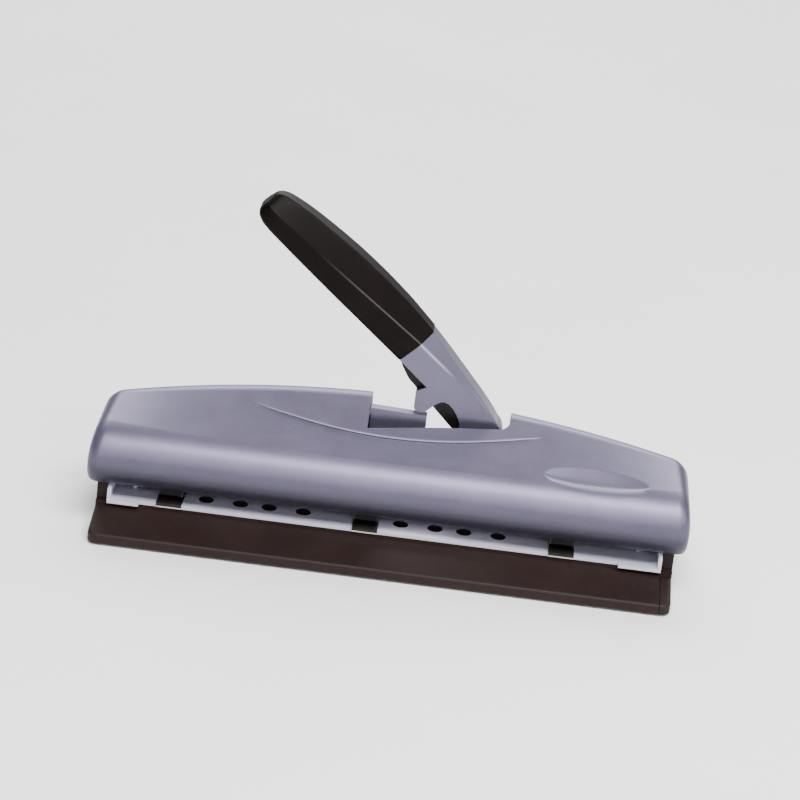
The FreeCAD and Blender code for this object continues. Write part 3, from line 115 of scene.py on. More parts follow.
class Finish:
    """A material built from nodes, on the object's own coordinates in metres."""

    def __init__(self, name):
        self.material = bpy.data.materials.new(name)
        self.material.use_nodes = True
        self.tree = self.material.node_tree
        self.tree.nodes.clear()
        self.place = self.node("ShaderNodeTexCoord", output="Object")

    def node(self, kind, settings=None, values=None, output=0):
        made = self.tree.nodes.new(kind)
        for name, value in (settings or {}).items():
            setattr(made, name, value)
        for socket, value in (values or {}).items():
            if isinstance(value, Wire):
                self.tree.links.new(value.socket, made.inputs[socket])
            else:
                made.inputs[socket].default_value = value
        return made if output is None else Wire(self, made.outputs[output])

    def stretched(self, scale, turn=(0.0, 0.0, 0.0)):
        return self.node("ShaderNodeMapping", values={"Vector": self.place, "Scale": scale, "Rotation": turn})

    def noise(self, per_metre, detail=2.0, rough=0.5, place=None):
        values = {"Vector": place or self.place, "Scale": per_metre, "Detail": detail, "Roughness": rough}
        return self.node("ShaderNodeTexNoise", values=values, output="Fac")

    def cells(self, per_metre, output="Distance"):
        values = {"Vector": self.place, "Scale": per_metre}
        return self.node("ShaderNodeTexVoronoi", values=values, output=output)

    def glints(self, per_metre):
        """One grey value for each small cell."""
        return self.node("ShaderNodeSeparateColor", values={0: self.cells(per_metre, "Color")})

    def axis(self, index):
        return self.node("ShaderNodeSeparateXYZ", values={0: self.place}, output=index)

    def on_lever(self):
        """Millimetres along the lever from its pivot, and above its line."""
        right, rise = self.axis(0) / MM - PIVOT.x, self.axis(2) / MM - PIVOT.z
        lean_in, lean_up = math.cos(LEVER_LEAN), math.sin(LEVER_LEAN)
        return rise * lean_up - right * lean_in, rise * lean_in + right * lean_up

    def facing(self, index):
        normal = self.node("ShaderNodeNewGeometry", output="Normal")
        return self.node("ShaderNodeSeparateXYZ", values={0: normal}, output=index)

    def mix(self, first, second, share):
        values = {0: share, 6: tinted(first), 7: tinted(second)}
        return self.node("ShaderNodeMix", {"data_type": "RGBA"}, values, 2)

    def bump(self, height, distance, strength=1.0, under=None):
        values = {"Height": height, "Distance": distance, "Strength": strength}
        if under is not None:
            values["Normal"] = under
        return self.node("ShaderNodeBump", values=values)

    def shade(self, **values):
        named = {name.replace("_", " "): tinted(value) for name, value in values.items()}
        shader = self.node("ShaderNodeBsdfPrincipled", values=named)
        self.node("ShaderNodeOutputMaterial", values={"Surface": shader}, output=None)
        return self.material


def tinted(colour):
    return (*colour, 1.0) if isinstance(colour, tuple) and len(colour) == 3 else colour


def times(colour, factor):
    return tuple(min(1.0, part * factor) for part in colour)


# Finishes.

SILVER, SILVER_DARK = (0.136, 0.125, 0.190), (0.109, 0.100, 0.153)
LEVER_SILVER, LEVER_SILVER_DARK = (0.138, 0.128, 0.190), (0.110, 0.101, 0.152)
# Colours of the painted highlight lines on the cover's ledge and on the shroud's ridge.
LEDGE_HIGHLIGHT, RIDGE_HIGHLIGHT = (0.27, 0.255, 0.34), (0.50, 0.48, 0.58)
# Painted highlight line on the shroud's ridge: its height above the lever's line at the grip, and its rise by
# the millimetre towards the pivot.
RIDGE_UP, RIDGE_SLOPE = 8.6, 0.0856
# Painted highlight line on the grip's ridge: its height above the lever's line at the grip's start, its fall
# along the grip, and how that fall steepens.
GRIP_RIDGE_UP, GRIP_RIDGE_FALL, GRIP_RIDGE_BEND = 9.0, 0.14, 0.00005
# Share of fleck, darkness of the painted shade on downward faces, and the die plate's metalness.
FLECK, UNDERSIDE_PAINTED_SHADE, PLATE_METAL = 0.16, 0.42, 0.22


def shroud_ridge_highlight(f):
    """Where the shroud's ridge gets a painted highlight line, from its knuckle to the grip."""
    along, up = f.on_lever()
    off = (up - (GRIP_START - along) * RIDGE_SLOPE - RIDGE_UP).size()
    return off.between(1.0, 0.15) * along.between(34.0, 50.0) * 0.75


def ledge_edge_highlight(f):
    """Where the raised ledge's front edge gets a painted highlight line, fading out at its ends."""
    right, behind = f.axis(0) / MM - LEDGE_MIDDLE, f.axis(1) / MM - LEDGE_CENTRE
    inside = LEDGE_RADIUS - (right * right + behind * behind) ** 0.5
    strip = inside.between(-0.1, 0.15) * inside.between(1.0, 0.65)
    return strip * right.size().between(LEDGE_HALF + 1.0, 66.0) * 0.85


def silver_finish(name, colour, dark, sheen_rough, underside_shade, highlight_line, pale):
    """Satin silver lacquer: fleck in a cloudy lavender-grey, painted shade where it faces down, and a pale
    painted highlight line.
    """
    f = Finish(name)
    cloud = f.noise(38.0, 4.0, 0.6)
    fine = f.noise(2600.0, 2.0, 0.6)
    sparkle = f.glints(3400.0).between(0.78, 1.0) * 0.7 + f.glints(1500.0).between(0.86, 1.0) * 0.3
    ground = f.mix(dark, colour, (cloud * 0.5 + fine * 0.5).between(0.3, 0.66))
    surface = f.mix(ground, times(colour, 1.7), sparkle * FLECK)
    # Painted shade on faces turned downwards.
    surface = f.mix(surface, times(dark, UNDERSIDE_PAINTED_SHADE), f.facing(2).between(0.40, -0.15) * underside_shade)
    # Painted highlight line, pale, where the given line function marks.
    surface = f.mix(surface, pale, highlight_line(f))
    peel = f.noise(700.0, 3.0, 0.55)
    rub = f.noise(55.0, 5.0, 0.7, f.stretched((1.0, 2.6, 2.6)))
    rough = sheen_rough + (cloud - 0.5) * 0.10 + (rub.between(0.45, 0.8) - 0.4) * 0.05
    grain = f.bump(fine, 0.00002, 0.35, f.bump(peel, 0.00004, 0.5))
    return f.shade(Base_Color=surface, Metallic=0.7, Roughness=rough, Coat_Weight=0.12, Coat_Roughness=0.28,
                   Normal=grain)


def moulded_finish(name, colour, worn, grain=900.0, depth=0.00006, sheen=0.46):
    """Moulded plastic with a spark-eroded grain, a little dust in it and paler rubbed places."""
    f = Finish(name)
    fine = f.noise(grain * 2.2, 3.0, 0.6)
    height = f.cells(grain).between(0.0, 0.75) * 0.7 + fine * 0.3
    cloud = f.noise(26.0, 5.0, 0.62)
    rub = f.noise(90.0, 6.0, 0.72)
    dust = f.facing(2).between(0.2, 0.95) * rub.between(0.52, 0.82) * 0.30
    base = f.mix(colour, worn, cloud.between(0.35, 0.75) * 0.35)
    tinge = f.mix(base, times(colour, 0.72), height.between(0.55, 0.15) * 0.5)
    surface = f.mix(tinge, (0.12, 0.11, 0.105), dust * 0.10)
    rough = sheen + (cloud - 0.5) * 0.12 + (rub - 0.5) * 0.08 + dust * 0.3
    return f.shade(Base_Color=surface, Specular_IOR_Level=0.2, Roughness=rough,
                   Normal=f.bump(height, depth, 0.8))


def sheet_steel(f, bright, dark, along=(6.0, 420.0, 420.0), rough=0.30, marks=0.5):
    """Colour, roughness and normal of plated sheet: rolling lines, faint blotches and small scratches."""
    lines = f.noise(1.0, 5.0, 0.65, f.stretched(along))
    blotch = f.noise(60.0, 4.0, 0.6)
    scratch = f.noise(1.0, 2.0, 0.5, f.stretched((900.0, 22.0, 90.0), (0.0, 0.0, 0.5)))
    cut = scratch.between(0.66, 0.74) * marks
    colour = f.mix(dark, bright, (lines * 0.55 + blotch * 0.45).between(0.3, 0.7))
    colour = f.mix(colour, times(bright, 1.25), cut * 0.5)
    surface_rough = rough + (blotch - 0.5) * 0.14 + lines * 0.08 + cut * 0.1
    return colour, surface_rough, f.bump(lines * 0.7 + cut * 0.3, 0.00002, 0.35)


def steel_finish(name, bright, dark, along, rough):
    """Plain plated steel, with its own grain."""
    f = Finish(name)
    colour, surface_rough, normal = sheet_steel(f, bright, dark, along, rough)
    return f.shade(Base_Color=colour, Metallic=0.95, Roughness=surface_rough, Normal=normal)


def turned_finish(name, bright, dark, axis, rough):
    """Ground or turned steel: fine rings along one axis, with a few darker bands."""
    f = Finish(name)

    def rings(across, along):
        scale = [across] * 3
        scale[axis] = along
        return f.noise(1.0, 3.0, 0.6, f.stretched(tuple(scale)))

    fine, slow = rings(30.0, 2400.0), rings(12.0, 160.0)
    colour = f.mix(dark, bright, (fine * 0.5 + slow * 0.5).between(0.32, 0.68))
    return f.shade(Base_Color=colour, Metallic=1.0, Roughness=rough + fine * 0.1 + (slow - 0.5) * 0.1,
                   Normal=f.bump(fine, 0.000012, 0.4))


def head_bracket_finish():
    """Head bracket coloured near black, with bare steel in a strip along the foot of its lip."""
    f = Finish("head_bracket_steel")
    colour, rough, normal = sheet_steel(f, (0.78, 0.74, 0.66), (0.60, 0.57, 0.52), marks=0.8)
    edge = (0.0 - f.axis(1)).between(LIP_FRONT[0] * MM, LIP_FRONT[1] * MM)
    bare = edge * f.axis(2).between(LIP_FOOT[0] * MM, LIP_FOOT[1] * MM)
    cloud = f.noise(220.0, 4.0, 0.6)
    black = f.mix((0.006, 0.0045, 0.0045), (0.013, 0.0105, 0.0102), cloud.between(0.4, 0.8))
    surface = f.mix(black, colour, bare)
    return f.shade(Base_Color=surface, Metallic=0.1 + bare * 0.4, Roughness=rough + (1.0 - bare) * 0.18,
                   Normal=normal)


def die_plate_finish():
    """Nickel-plated plate: rolled lines along X, a painted cream highlight on faces turned to the front,
    painted shade on its hole walls.
    """
    f = Finish("die_plate_nickel")
    colour, rough, normal = sheet_steel(f, (0.60, 0.59, 0.74), (0.51, 0.50, 0.64), rough=0.40, marks=0.6)
    # Painted cream highlight on faces turned to the front.
    front_face_highlight = (0.0 - f.facing(1)).between(0.55, 0.9)
    surface = f.mix(colour, (0.80, 0.77, 0.70), front_face_highlight * 0.2)
    wear = f.noise(120.0, 5.0, 0.7).between(0.5, 0.8)
    surface = f.mix(surface, (0.52, 0.51, 0.57), wear * 0.3)
    # Painted shade, near black, on the upright walls of the holes, behind their front and below the plate's
    # top.
    behind = f.axis(1).between(HOLES_FRONT[0] * MM, HOLES_FRONT[1] * MM)
    under = f.axis(2).between((PLATE_TOP + 0.1) * MM, (PLATE_TOP - 0.02) * MM)
    hole_wall_shade = behind * f.facing(2).size().between(0.6, 0.4) * under
    surface = f.mix(surface, (0.015, 0.012, 0.016), hole_wall_shade)
    return f.shade(Base_Color=surface, Metallic=PLATE_METAL, Roughness=rough + wear * 0.08, Normal=normal)


def grip_finish():
    """Soft-touch black grip: very fine pebble, hand-polished, with a painted highlight line along its ridge
    near the shroud.
    """
    f = Finish("soft_touch_grip")
    pebble = f.cells(1500.0).between(0.0, 0.7)
    fine = f.noise(3600.0, 2.0, 0.6)
    palm = f.noise(34.0, 5.0, 0.65)
    base = f.mix((0.0022, 0.0008, 0.0007), (0.0042, 0.0020, 0.0018), palm.between(0.3, 0.7))
    surface = f.mix(base, (0.0035, 0.0021, 0.0019), pebble.between(0.5, 0.1) * 0.5)
    along, up = f.on_lever()
    reach = along - GRIP_START
    off = (up - GRIP_RIDGE_UP + reach * GRIP_RIDGE_FALL + reach * reach * GRIP_RIDGE_BEND).size()
    # Painted highlight line along the grip's ridge, fading out towards the grip's end.
    surface = f.mix(surface, (0.050, 0.045, 0.045), off.between(0.75, 0.1) * reach.between(80.0, 40.0))
    rough = 0.48 - palm.between(0.46, 0.78) * 0.12 + (pebble - 0.5) * 0.05
    return f.shade(Base_Color=surface, Specular_IOR_Level=0.09, Roughness=rough,
                   Normal=f.bump(pebble * 0.6 + fine * 0.4, 0.00005, 0.6))


def rubber_finish():
    """Black rubber with a dusty bloom."""
    f = Finish("foot_rubber")
    bloom = f.noise(240.0, 5.0, 0.7)
    fine = f.noise(2800.0, 2.0, 0.5)
    surface = f.mix((0.018, 0.018, 0.019), (0.055, 0.053, 0.052), bloom.between(0.45, 0.8) * 0.7)
    return f.shade(Base_Color=surface, Roughness=0.72 + (bloom - 0.5) * 0.16,
                   Normal=f.bump(fine, 0.00004, 0.5))


def nylon_finish():
    """Off-white nylon, faintly cloudy."""
    f = Finish("bush_nylon")
    cloud = f.noise(300.0, 3.0, 0.5)
    surface = f.mix((0.70, 0.68, 0.62), (0.80, 0.78, 0.72), cloud.between(0.35, 0.7))
    return f.shade(Base_Color=surface, Roughness=0.42 + (cloud - 0.5) * 0.1,
                   Normal=f.bump(cloud, 0.00003, 0.4))


def table_finish():
    """Pale matt table."""
    f = Finish("pale_table")
    soft = f.noise(6.0, 3.0, 0.5)
    surface = f.mix((0.92, 0.92, 0.925), (0.94, 0.94, 0.945), soft.between(0.35, 0.65))
    return f.shade(Base_Color=surface, Roughness=0.7 + (soft - 0.5) * 0.05)


BASE_BLACK, BASE_WORN = (0.0125, 0.0058, 0.0052), (0.023, 0.0130, 0.0118)
DRAWER_BLACK, DRAWER_WORN = (0.0128, 0.0060, 0.0054), (0.0235, 0.0133, 0.0121)
LEVER_BLACK, LEVER_WORN = (0.0070, 0.0045, 0.0042), (0.013, 0.0096, 0.0090)
HEAD_BLACK, HEAD_WORN = (0.005, 0.0036, 0.0034), (0.010, 0.0076, 0.0072)
SADDLE_BLACK, SADDLE_WORN = (0.024, 0.022, 0.022), (0.05, 0.048, 0.047)
ROD, ROD_DARK = (0.72, 0.72, 0.74), (0.52, 0.52, 0.55)
TOOL, TOOL_DARK = (0.66, 0.66, 0.69), (0.46, 0.46, 0.49)
SCREW, SCREW_DARK = (0.66, 0.65, 0.62), (0.45, 0.44, 0.42)
CLIP, CLIP_DARK = (0.16, 0.16, 0.19), (0.07, 0.07, 0.09)
SPRING, SPRING_DARK = (0.52, 0.52, 0.54), (0.30, 0.30, 0.32)
ZINC, ZINC_DARK = (0.60, 0.60, 0.57), (0.44, 0.44, 0.42)
CAP, CAP_DARK = (0.60, 0.60, 0.62), (0.42, 0.42, 0.45)
FINISHES = {
    "cover_paint": silver_finish("cover_silver", SILVER, SILVER_DARK, 0.45, 1.0, ledge_edge_highlight, LEDGE_HIGHLIGHT),
    "silver_paint": silver_finish("lever_silver", LEVER_SILVER, LEVER_SILVER_DARK, 0.42, 0.0, shroud_ridge_highlight,
                                  RIDGE_HIGHLIGHT),
    "black_plastic": moulded_finish("base_black", BASE_BLACK, BASE_WORN, sheen=0.55),
    "drawer_plastic": moulded_finish("drawer_black", DRAWER_BLACK, DRAWER_WORN, sheen=0.55),
    "black_plastic_part": moulded_finish("saddle_black", SADDLE_BLACK, SADDLE_WORN, 1400.0),
    "black_paint": moulded_finish("lever_black", LEVER_BLACK, LEVER_WORN, 1300.0, 0.00004, 0.40),
    "head_plastic": moulded_finish("head_black", HEAD_BLACK, HEAD_WORN, 1600.0, 0.00004, 0.5),
    "rubber": rubber_finish(),
    "bush_plastic": nylon_finish(),
    "grip_plastic": grip_finish(),
    "bright_steel": die_plate_finish(),
    "head_steel": head_bracket_finish(),
    "rod_steel": turned_finish("ground_rod", ROD, ROD_DARK, 0, 0.22),
    "punch_steel": turned_finish("punch_tool_steel", TOOL, TOOL_DARK, 2, 0.16),
    "screw_steel": steel_finish("screw_zinc", SCREW, SCREW_DARK, (240.0, 240.0, 240.0), 0.34),
    "clip_steel": steel_finish("blued_clip", CLIP, CLIP_DARK, (300.0, 300.0, 300.0), 0.36),
    "spring_steel": steel_finish("spring_wire", SPRING, SPRING_DARK, (800.0, 800.0, 800.0), 0.30),
    "zinc_steel": steel_finish("zinc_sheet", ZINC, ZINC_DARK, (30.0, 260.0, 30.0), 0.38),
    "cap_steel": steel_finish("cap_plated", CAP, CAP_DARK, (260.0, 260.0, 260.0), 0.30),
}
SLOT_OF = {part["node"]: part["material_slot"] for part in frame["record"]["subparts"]}

for node_name, node_object in frame["nodes"].items():
    node_object.data.materials.clear()
    node_object.data.materials.append(FINISHES[SLOT_OF[node_name]])


# Mesh helpers.

def new_piece(name, bm, body, slot, replaced, sharp=40.0):
    """Put a mesh built in millimetres into the scene as a smooth piece that rides on a body."""
    bmesh.ops.scale(bm, vec=(MM, MM, MM), verts=bm.verts)
    bmesh.ops.recalc_face_normals(bm, faces=bm.faces)
    mesh = bpy.data.meshes.new(name)
    bm.to_mesh(mesh)
    bm.free()
    mesh.polygons.foreach_set("use_smooth", [True] * len(mesh.polygons))
    mesh.set_sharp_from_angle(angle=math.radians(sharp))
    mesh.materials.append(FINISHES[slot])
    piece = bpy.data.objects.new(name, mesh)
    bpy.context.scene.collection.objects.link(piece)
    piece.modifiers.new("even_shading", "WEIGHTED_NORMAL").keep_sharp = True
    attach(piece, body)
    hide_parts(replaced)
    return piece


def tube(bm, loops):
    """Join rings of vertices, one after the other, and close both ends."""
    for first, second in zip(loops, loops[1:]):
        for index in range(len(first)):
            after = (index + 1) % len(first)
            bm.faces.new([first[index], first[after], second[after], second[index]])
    bm.faces.new(loops[0])
    bm.faces.new(loops[-1])


def spread(low, high, count):
    return [low + (high - low) * index / count for index in range(count + 1)]


def mixed(first, second, share):
    return first + (second - first) * share


# Cover: its section at every place along it.

COVER_HALF, COVER_WALL, COVER_CORNER, END_LEAN = 165.0, 2.7, 6.5, 4.6
CREST_HEIGHT, CREST_DROP, CREST_PLACE, CREST_LEAD, CREST_RADIUS = 63.0, 16.4, 76.0, 10.0, 11.0
BELLY_Y, BELLY_Z, BELLY_LOW, BELLY_HIGH = BASE_FRONT + 22.0, DECK + 21.0, 15.7, 22.0
COVER_BOTTOM, COVER_BACK = DECK + 11.0, (BASE_FRONT + 98.0, DECK + 0.5)
# Notch: its walls, the reach of its round corner and how far back that goes, its front's two ends and bow.
NOTCH_LEFT, NOTCH_RIGHT, NOTCH_CORNER, NOTCH_BACKWARD = -16.0, 61.5, 7.0, 7.7
NOTCH_TURN = NOTCH_RIGHT - NOTCH_CORNER
NOTCH_FRONT_LEFT, NOTCH_FRONT_RIGHT, NOTCH_BOW = BASE_FRONT + 52.0, BASE_FRONT + 62.0, 0.4
# Dish: its middle, length, height and depth, the share of its height that is sunk, and where it is deepest.
DISH_X, DISH_Y, DISH_LENGTH, DISH_HEIGHT, DISH_DEPTH = 111.5, BASE_FRONT + 39.3, 57.0, 19.0, 2.0
DISH_SUNK, DISH_DEEPEST, DISH_TURN = 0.8, -0.35, 3
# Lengths past the ledge's edge, and the share of its height that it has there.
LEDGE_STEPS, LEDGE_LEAST = ((0.0, 0.0), (0.12, 0.45), (0.3, 0.85), (0.6, 1.0)), 1.0
# Heights above the foot of the back wall.
BACK_SKIRT = (7.5, 4.0, 0.0)

# Rows of faces up the front: below the belly, on it in two stretches, on the slope, the ledge and the crest.
LOW_ROWS, BELLY_ROWS, TURN_ROWS, SLOPE_ROWS, LEDGE_ROWS, CREST_ROWS = 6, 6, 5, 64, 7, 16
BELLY_BREAK = 30.0
NOTCH_ROW = LOW_ROWS + BELLY_ROWS + TURN_ROWS + SLOPE_ROWS + len(LEDGE_STEPS) - 1 + LEDGE_ROWS
NOTCH_BACK_ROW = LOW_ROWS + BELLY_ROWS

# Columns of faces in stretches from the left, closest across the dish, with the notch's round corner between.
COLUMNS_HALF, END_STRIPS, CORNER_STRIPS = 152.0, 6, 9
LEFT_STRETCHES = ((-COLUMNS_HALF, -82.0, 20), (-82.0, NOTCH_LEFT, 24), (NOTCH_LEFT, NOTCH_TURN, 26))
RIGHT_STRETCHES = ((NOTCH_RIGHT, 80.0, 8), (80.0, 143.0, 72), (143.0, COLUMNS_HALF, 3))

RIM_ROUND, RIM_FOLD = 0.35, math.radians(60.0)
PILLAR_MIDDLE, PILLAR_TOP = 155.5, DECK + 25.0
BOSS_RADIUS, BOSS_TAPER, BOSS_GAP, BOSS_DROP = 3.1, 0.3, 0.3, COVER_WALL * 2.2
BOSS_PLACES = (BASE_FRONT + 46.0, BASE_FRONT + 68.0)


class Section:
    """The cover's outer line across one place: where it is at any height, in front and behind."""

    def __init__(self, across, inset=0.0):
        share = across / COVER_HALF
        self.crest_y = BASE_FRONT + CREST_PLACE - CREST_LEAD * share ** 2
        self.crest_z = DECK + CREST_HEIGHT - CREST_DROP * share ** 2 - CREST_RADIUS
        self.low, self.high, self.crest = (radius - inset for radius in (BELLY_LOW, BELLY_HIGH, CREST_RADIUS))
        self.top = self.crest_z + self.crest
        run = (self.crest_y - BELLY_Y - BELLY_HIGH, self.crest_z - BELLY_Z)
        self.turn = math.atan2(run[1], run[0]) + math.acos((self.high - self.crest) / math.hypot(*run))
        self.slope_low = BELLY_Z + self.high * math.sin(self.turn)
        self.slope_high = self.crest_z + self.crest * math.sin(self.turn)
        fall = (COVER_BACK[0] - self.crest_y, COVER_BACK[1] - self.crest_z)
        self.back_turn = math.atan2(fall[1], fall[0]) + math.acos(CREST_RADIUS / math.hypot(*fall))
        self.back_high = self.crest_z + self.crest * math.sin(self.back_turn)
        self.back_low = COVER_BACK[1] - math.sin(self.back_turn) * inset
        self.back_low_y = COVER_BACK[0] - math.cos(self.back_turn) * inset

    def rise(self):
        """Length of the line from the foot of the slope up to the crest's top."""
        return self.slope_length() + self.crest * (self.turn - math.pi / 2)

    def slope_length(self):
        return (self.slope_high - self.slope_low) / math.sin(self.turn - math.pi / 2)

    def height_at(self, length):
        """Height of a point a length up from the foot of the slope."""
        if length <= self.slope_length():
            return self.slope_low + length * math.sin(self.turn - math.pi / 2)
        angle = self.turn - (length - self.slope_length()) / self.crest
        return self.crest_z + self.crest * math.sin(angle)

    def length_at(self, along):
        """Length up from the foot of the slope of the point at a distance from front to back."""
        start = self.front(self.slope_low)
        reach = (along - start) / math.cos(self.turn - math.pi / 2)
        if reach <= self.slope_length():
            return reach
        angle = math.acos(max(-1.0, min(1.0, (along - self.crest_y) / self.crest)))
        return self.slope_length() + self.crest * (self.turn - angle)

    def front(self, height):
        if height <= BELLY_Z:
            return BELLY_Y + BELLY_LOW - math.sqrt(max(0.0, self.low ** 2 - (height - BELLY_Z) ** 2))
        if height <= self.slope_low:
            return BELLY_Y + BELLY_HIGH - math.sqrt(self.high ** 2 - (height - BELLY_Z) ** 2)
        if height <= self.slope_high:
            start = BELLY_Y + BELLY_HIGH + self.high * math.cos(self.turn)
            return start + (height - self.slope_low) / math.tan(self.turn - math.pi / 2)
        return self.crest_y - math.sqrt(max(0.0, self.crest ** 2 - (height - self.crest_z) ** 2))

    def back(self, height):
        if height >= self.back_high:
            return self.crest_y + math.sqrt(max(0.0, self.crest ** 2 - (height - self.crest_z) ** 2))
        share = (self.back_high - height) / (self.back_high - self.back_low)
        return mixed(self.crest_y + self.crest * math.cos(self.back_turn), self.back_low_y, share)


def ledge_line(across):
    """Front edge of the raised ledge, from front to back, and the ledge's height there."""
    place = max(-LEDGE_HALF, min(LEDGE_HALF, across - LEDGE_MIDDLE))
    rise = LEDGE_HEIGHT * (1 - (place / LEDGE_HALF) ** 6)
    return LEDGE_CENTRE - math.sqrt(LEDGE_RADIUS ** 2 - place ** 2), rise


def notch_line(across):
    """Front wall of the notch: a bowed line, then a quarter turn into the right wall."""
    if across <= NOTCH_TURN:
        share = (across - NOTCH_LEFT) / (NOTCH_TURN - NOTCH_LEFT)
        return mixed(NOTCH_FRONT_LEFT, NOTCH_FRONT_RIGHT, share) + NOTCH_BOW * math.sin(math.pi * share)
    share = min(1.0, (across - NOTCH_TURN) / NOTCH_CORNER)
    return NOTCH_FRONT_RIGHT + NOTCH_BACKWARD * (1 - math.sqrt(1 - share ** 2))


def end_place(height, side):
    """Where the cover's end face is at a height: it leans in from the foremost line up."""
    rise = CREST_HEIGHT - CREST_DROP - (BELLY_Z - DECK)
    turn = 2 * math.atan(END_LEAN / rise)
    radius = rise / math.sin(turn)
    up = max(0.0, height - BELLY_Z)
    return side * (COVER_HALF - radius + math.sqrt(radius ** 2 - up ** 2))


def slope_shares(across):
    """Shares of the line to the crest at the ledge's edge and the notch's front, and the ledge's height."""
    section = Section(across)
    edge, rise = ledge_line(across)
    inside = max(NOTCH_LEFT, min(NOTCH_RIGHT, across))
    near = Section(inside)
    near_edge = near.length_at(ledge_line(inside)[0])
    notch = (near.length_at(notch_line(inside)) - near_edge) / (near.rise() - near_edge)
    return section.length_at(edge) / section.rise(), notch, rise


def front_rows(section, across):
    """Heights up the front and the ledge's rise at each, from the bottom edge to the crest."""
    rows = [(height, 0.0) for height in spread(COVER_BOTTOM, BELLY_Z, LOW_ROWS)[:-1]]
    angles = spread(0.0, BELLY_BREAK, BELLY_ROWS)[:-1]
    angles += spread(BELLY_BREAK, math.degrees(math.pi - section.turn), TURN_ROWS)[:-1]
    rows += [(BELLY_Z + section.high * math.sin(math.radians(angle)), 0.0) for angle in angles]
    edge_share, notch_share, rise = slope_shares(across)
    total, slope = section.rise(), section.slope_length()
    edge = edge_share * total
    rows += [(section.height_at(length), 0.0) for length in spread(0.0, edge, SLOPE_ROWS)[:-1]]
    rows += [(section.height_at(edge + step), rise * lift) for step, lift in LEDGE_STEPS[:-1]]
    start = edge + LEDGE_STEPS[-1][0]
    notch = max(start + LEDGE_LEAST, mixed(edge, total, notch_share))
    for length in spread(start, notch, LEDGE_ROWS)[:-1] + spread(notch, total, CREST_ROWS):
        rows.append((section.height_at(length), rise * max(0.0, 1 - (length - start) / (slope - start))))
    return rows


def dish_fall(across, along):
    """Depth of the bare oval dish at a place: it sinks slowly from above and comes up steeply below."""
    out = (across - DISH_X) / (DISH_LENGTH / 2)
    if abs(out) >= 1:
        return 0.0
    width = math.sqrt(1 - out ** 2)
    up = (along - DISH_Y) / (DISH_HEIGHT / 2 * DISH_SUNK * width)
    if abs(up) >= 1:
        return 0.0
    floor, wall = (1 - up) / (1 - DISH_DEEPEST), (1 + up) / (1 + DISH_DEEPEST)
    return DISH_DEPTH * width * (floor ** -DISH_TURN + wall ** -DISH_TURN) ** (-1 / DISH_TURN)


def lifted(section, across, height, lift):
    """Point on the front at a height, raised by the ledge and sunk by the dish, square to the slope."""
    along = section.front(height)
    proud = lift - dish_fall(across, along)
    return Vector((across, along + proud * math.cos(section.turn), height + proud * math.sin(section.turn)))


def cover_column(across):
    """Points round the cover at one place, from the front's bottom edge over the crest to the back's foot."""
    section = Section(across)
    rows = front_rows(section, across)
    behind = [height for height, _ in reversed(rows[:-1])] + [section.back_low + up for up in BACK_SKIRT]
    ring = [lifted(section, across, height, lift) for height, lift in rows]
    return ring + [Vector((across, section.back(height), height)) for height in behind]


def cover_end(side, angle):
    """Points round the cover where its end rounds over, an angle into that quarter turn."""
    inset = COVER_CORNER * (1 - math.cos(angle))
    back_off = side * COVER_CORNER * (1 - math.sin(angle))
    top = Section(side * (COVER_HALF - END_LEAN), inset).top
    for _ in range(4):
        crest = Section(end_place(top, side) - back_off, inset)
        top = crest.top

    def point(height, line):
        across = end_place(height, side) - back_off
        return Vector((across, line(Section(across, inset), height), height))

    rows = [height for height, _ in front_rows(crest, end_place(top, side) - back_off)]
    behind = rows[-2::-1] + [crest.back_low + up for up in BACK_SKIRT]
    ring = [point(height, Section.front) for height in rows]
    return ring + [point(height, Section.back) for height in behind]


def cover_columns():
    """Places of the straight columns from left to right."""
    places = []
    for low, high, count in LEFT_STRETCHES:
        places += spread(low, high, count)[:-1]
    for turned in spread(0.0, 90.0, CORNER_STRIPS)[:-1]:
        places.append(NOTCH_TURN + NOTCH_CORNER * math.sin(math.radians(turned)))
    for low, high, count in RIGHT_STRETCHES:
        places += spread(low, high, count)[:-1]
    return places + [COLUMNS_HALF]


def close_end(bm, ring, last_front):
    """Fill the end face with level strips from the front to the back."""
    first_back = 2 * last_front
    for index in range(last_front):
        corners = [ring[index], ring[index + 1], ring[first_back - index - 1], ring[first_back - index]]
        if index == last_front - 1:
            corners.pop(2)
        bm.faces.new(corners)


def make_cover():
    """Long silver shell: rounded ends, raised ledge, notch in the crest and the bare oval dish."""
    bm = bmesh.new()
    quarter = [math.radians(turned) for turned in spread(0.0, 90.0, END_STRIPS)]
    rings = [cover_end(-1, angle) for angle in reversed(quarter)]
    rings += [cover_column(across) for across in cover_columns()]
    rings += [cover_end(1, angle) for angle in quarter]
    places = [ring[0].x for ring in rings]
    grid = [[bm.verts.new(point) for point in ring] for ring in rings]
    last_front = (len(grid[0]) - len(BACK_SKIRT) - 1) // 2
    notch_back = 2 * last_front - NOTCH_BACK_ROW
    for column in range(len(grid) - 1):
        notched = NOTCH_LEFT < (places[column] + places[column + 1]) / 2 < NOTCH_RIGHT
        left, right = grid[column], grid[column + 1]
        for row in range(len(left) - 1):
            if not (notched and NOTCH_ROW <= row < notch_back):
                bm.faces.new([left[row], right[row], right[row + 1], left[row + 1]])
    close_end(bm, grid[0], last_front)
    close_end(bm, grid[-1], last_front)
    bmesh.ops.recalc_face_normals(bm, faces=bm.faces)
    bmesh.ops.delete(bm, geom=[vert for vert in bm.verts if not vert.link_faces], context="VERTS")
    thicken(bm)
    add_bosses(bm)
    new_piece("cover_shell", bm, "frame", "cover_paint", "top_cover", 50.0)


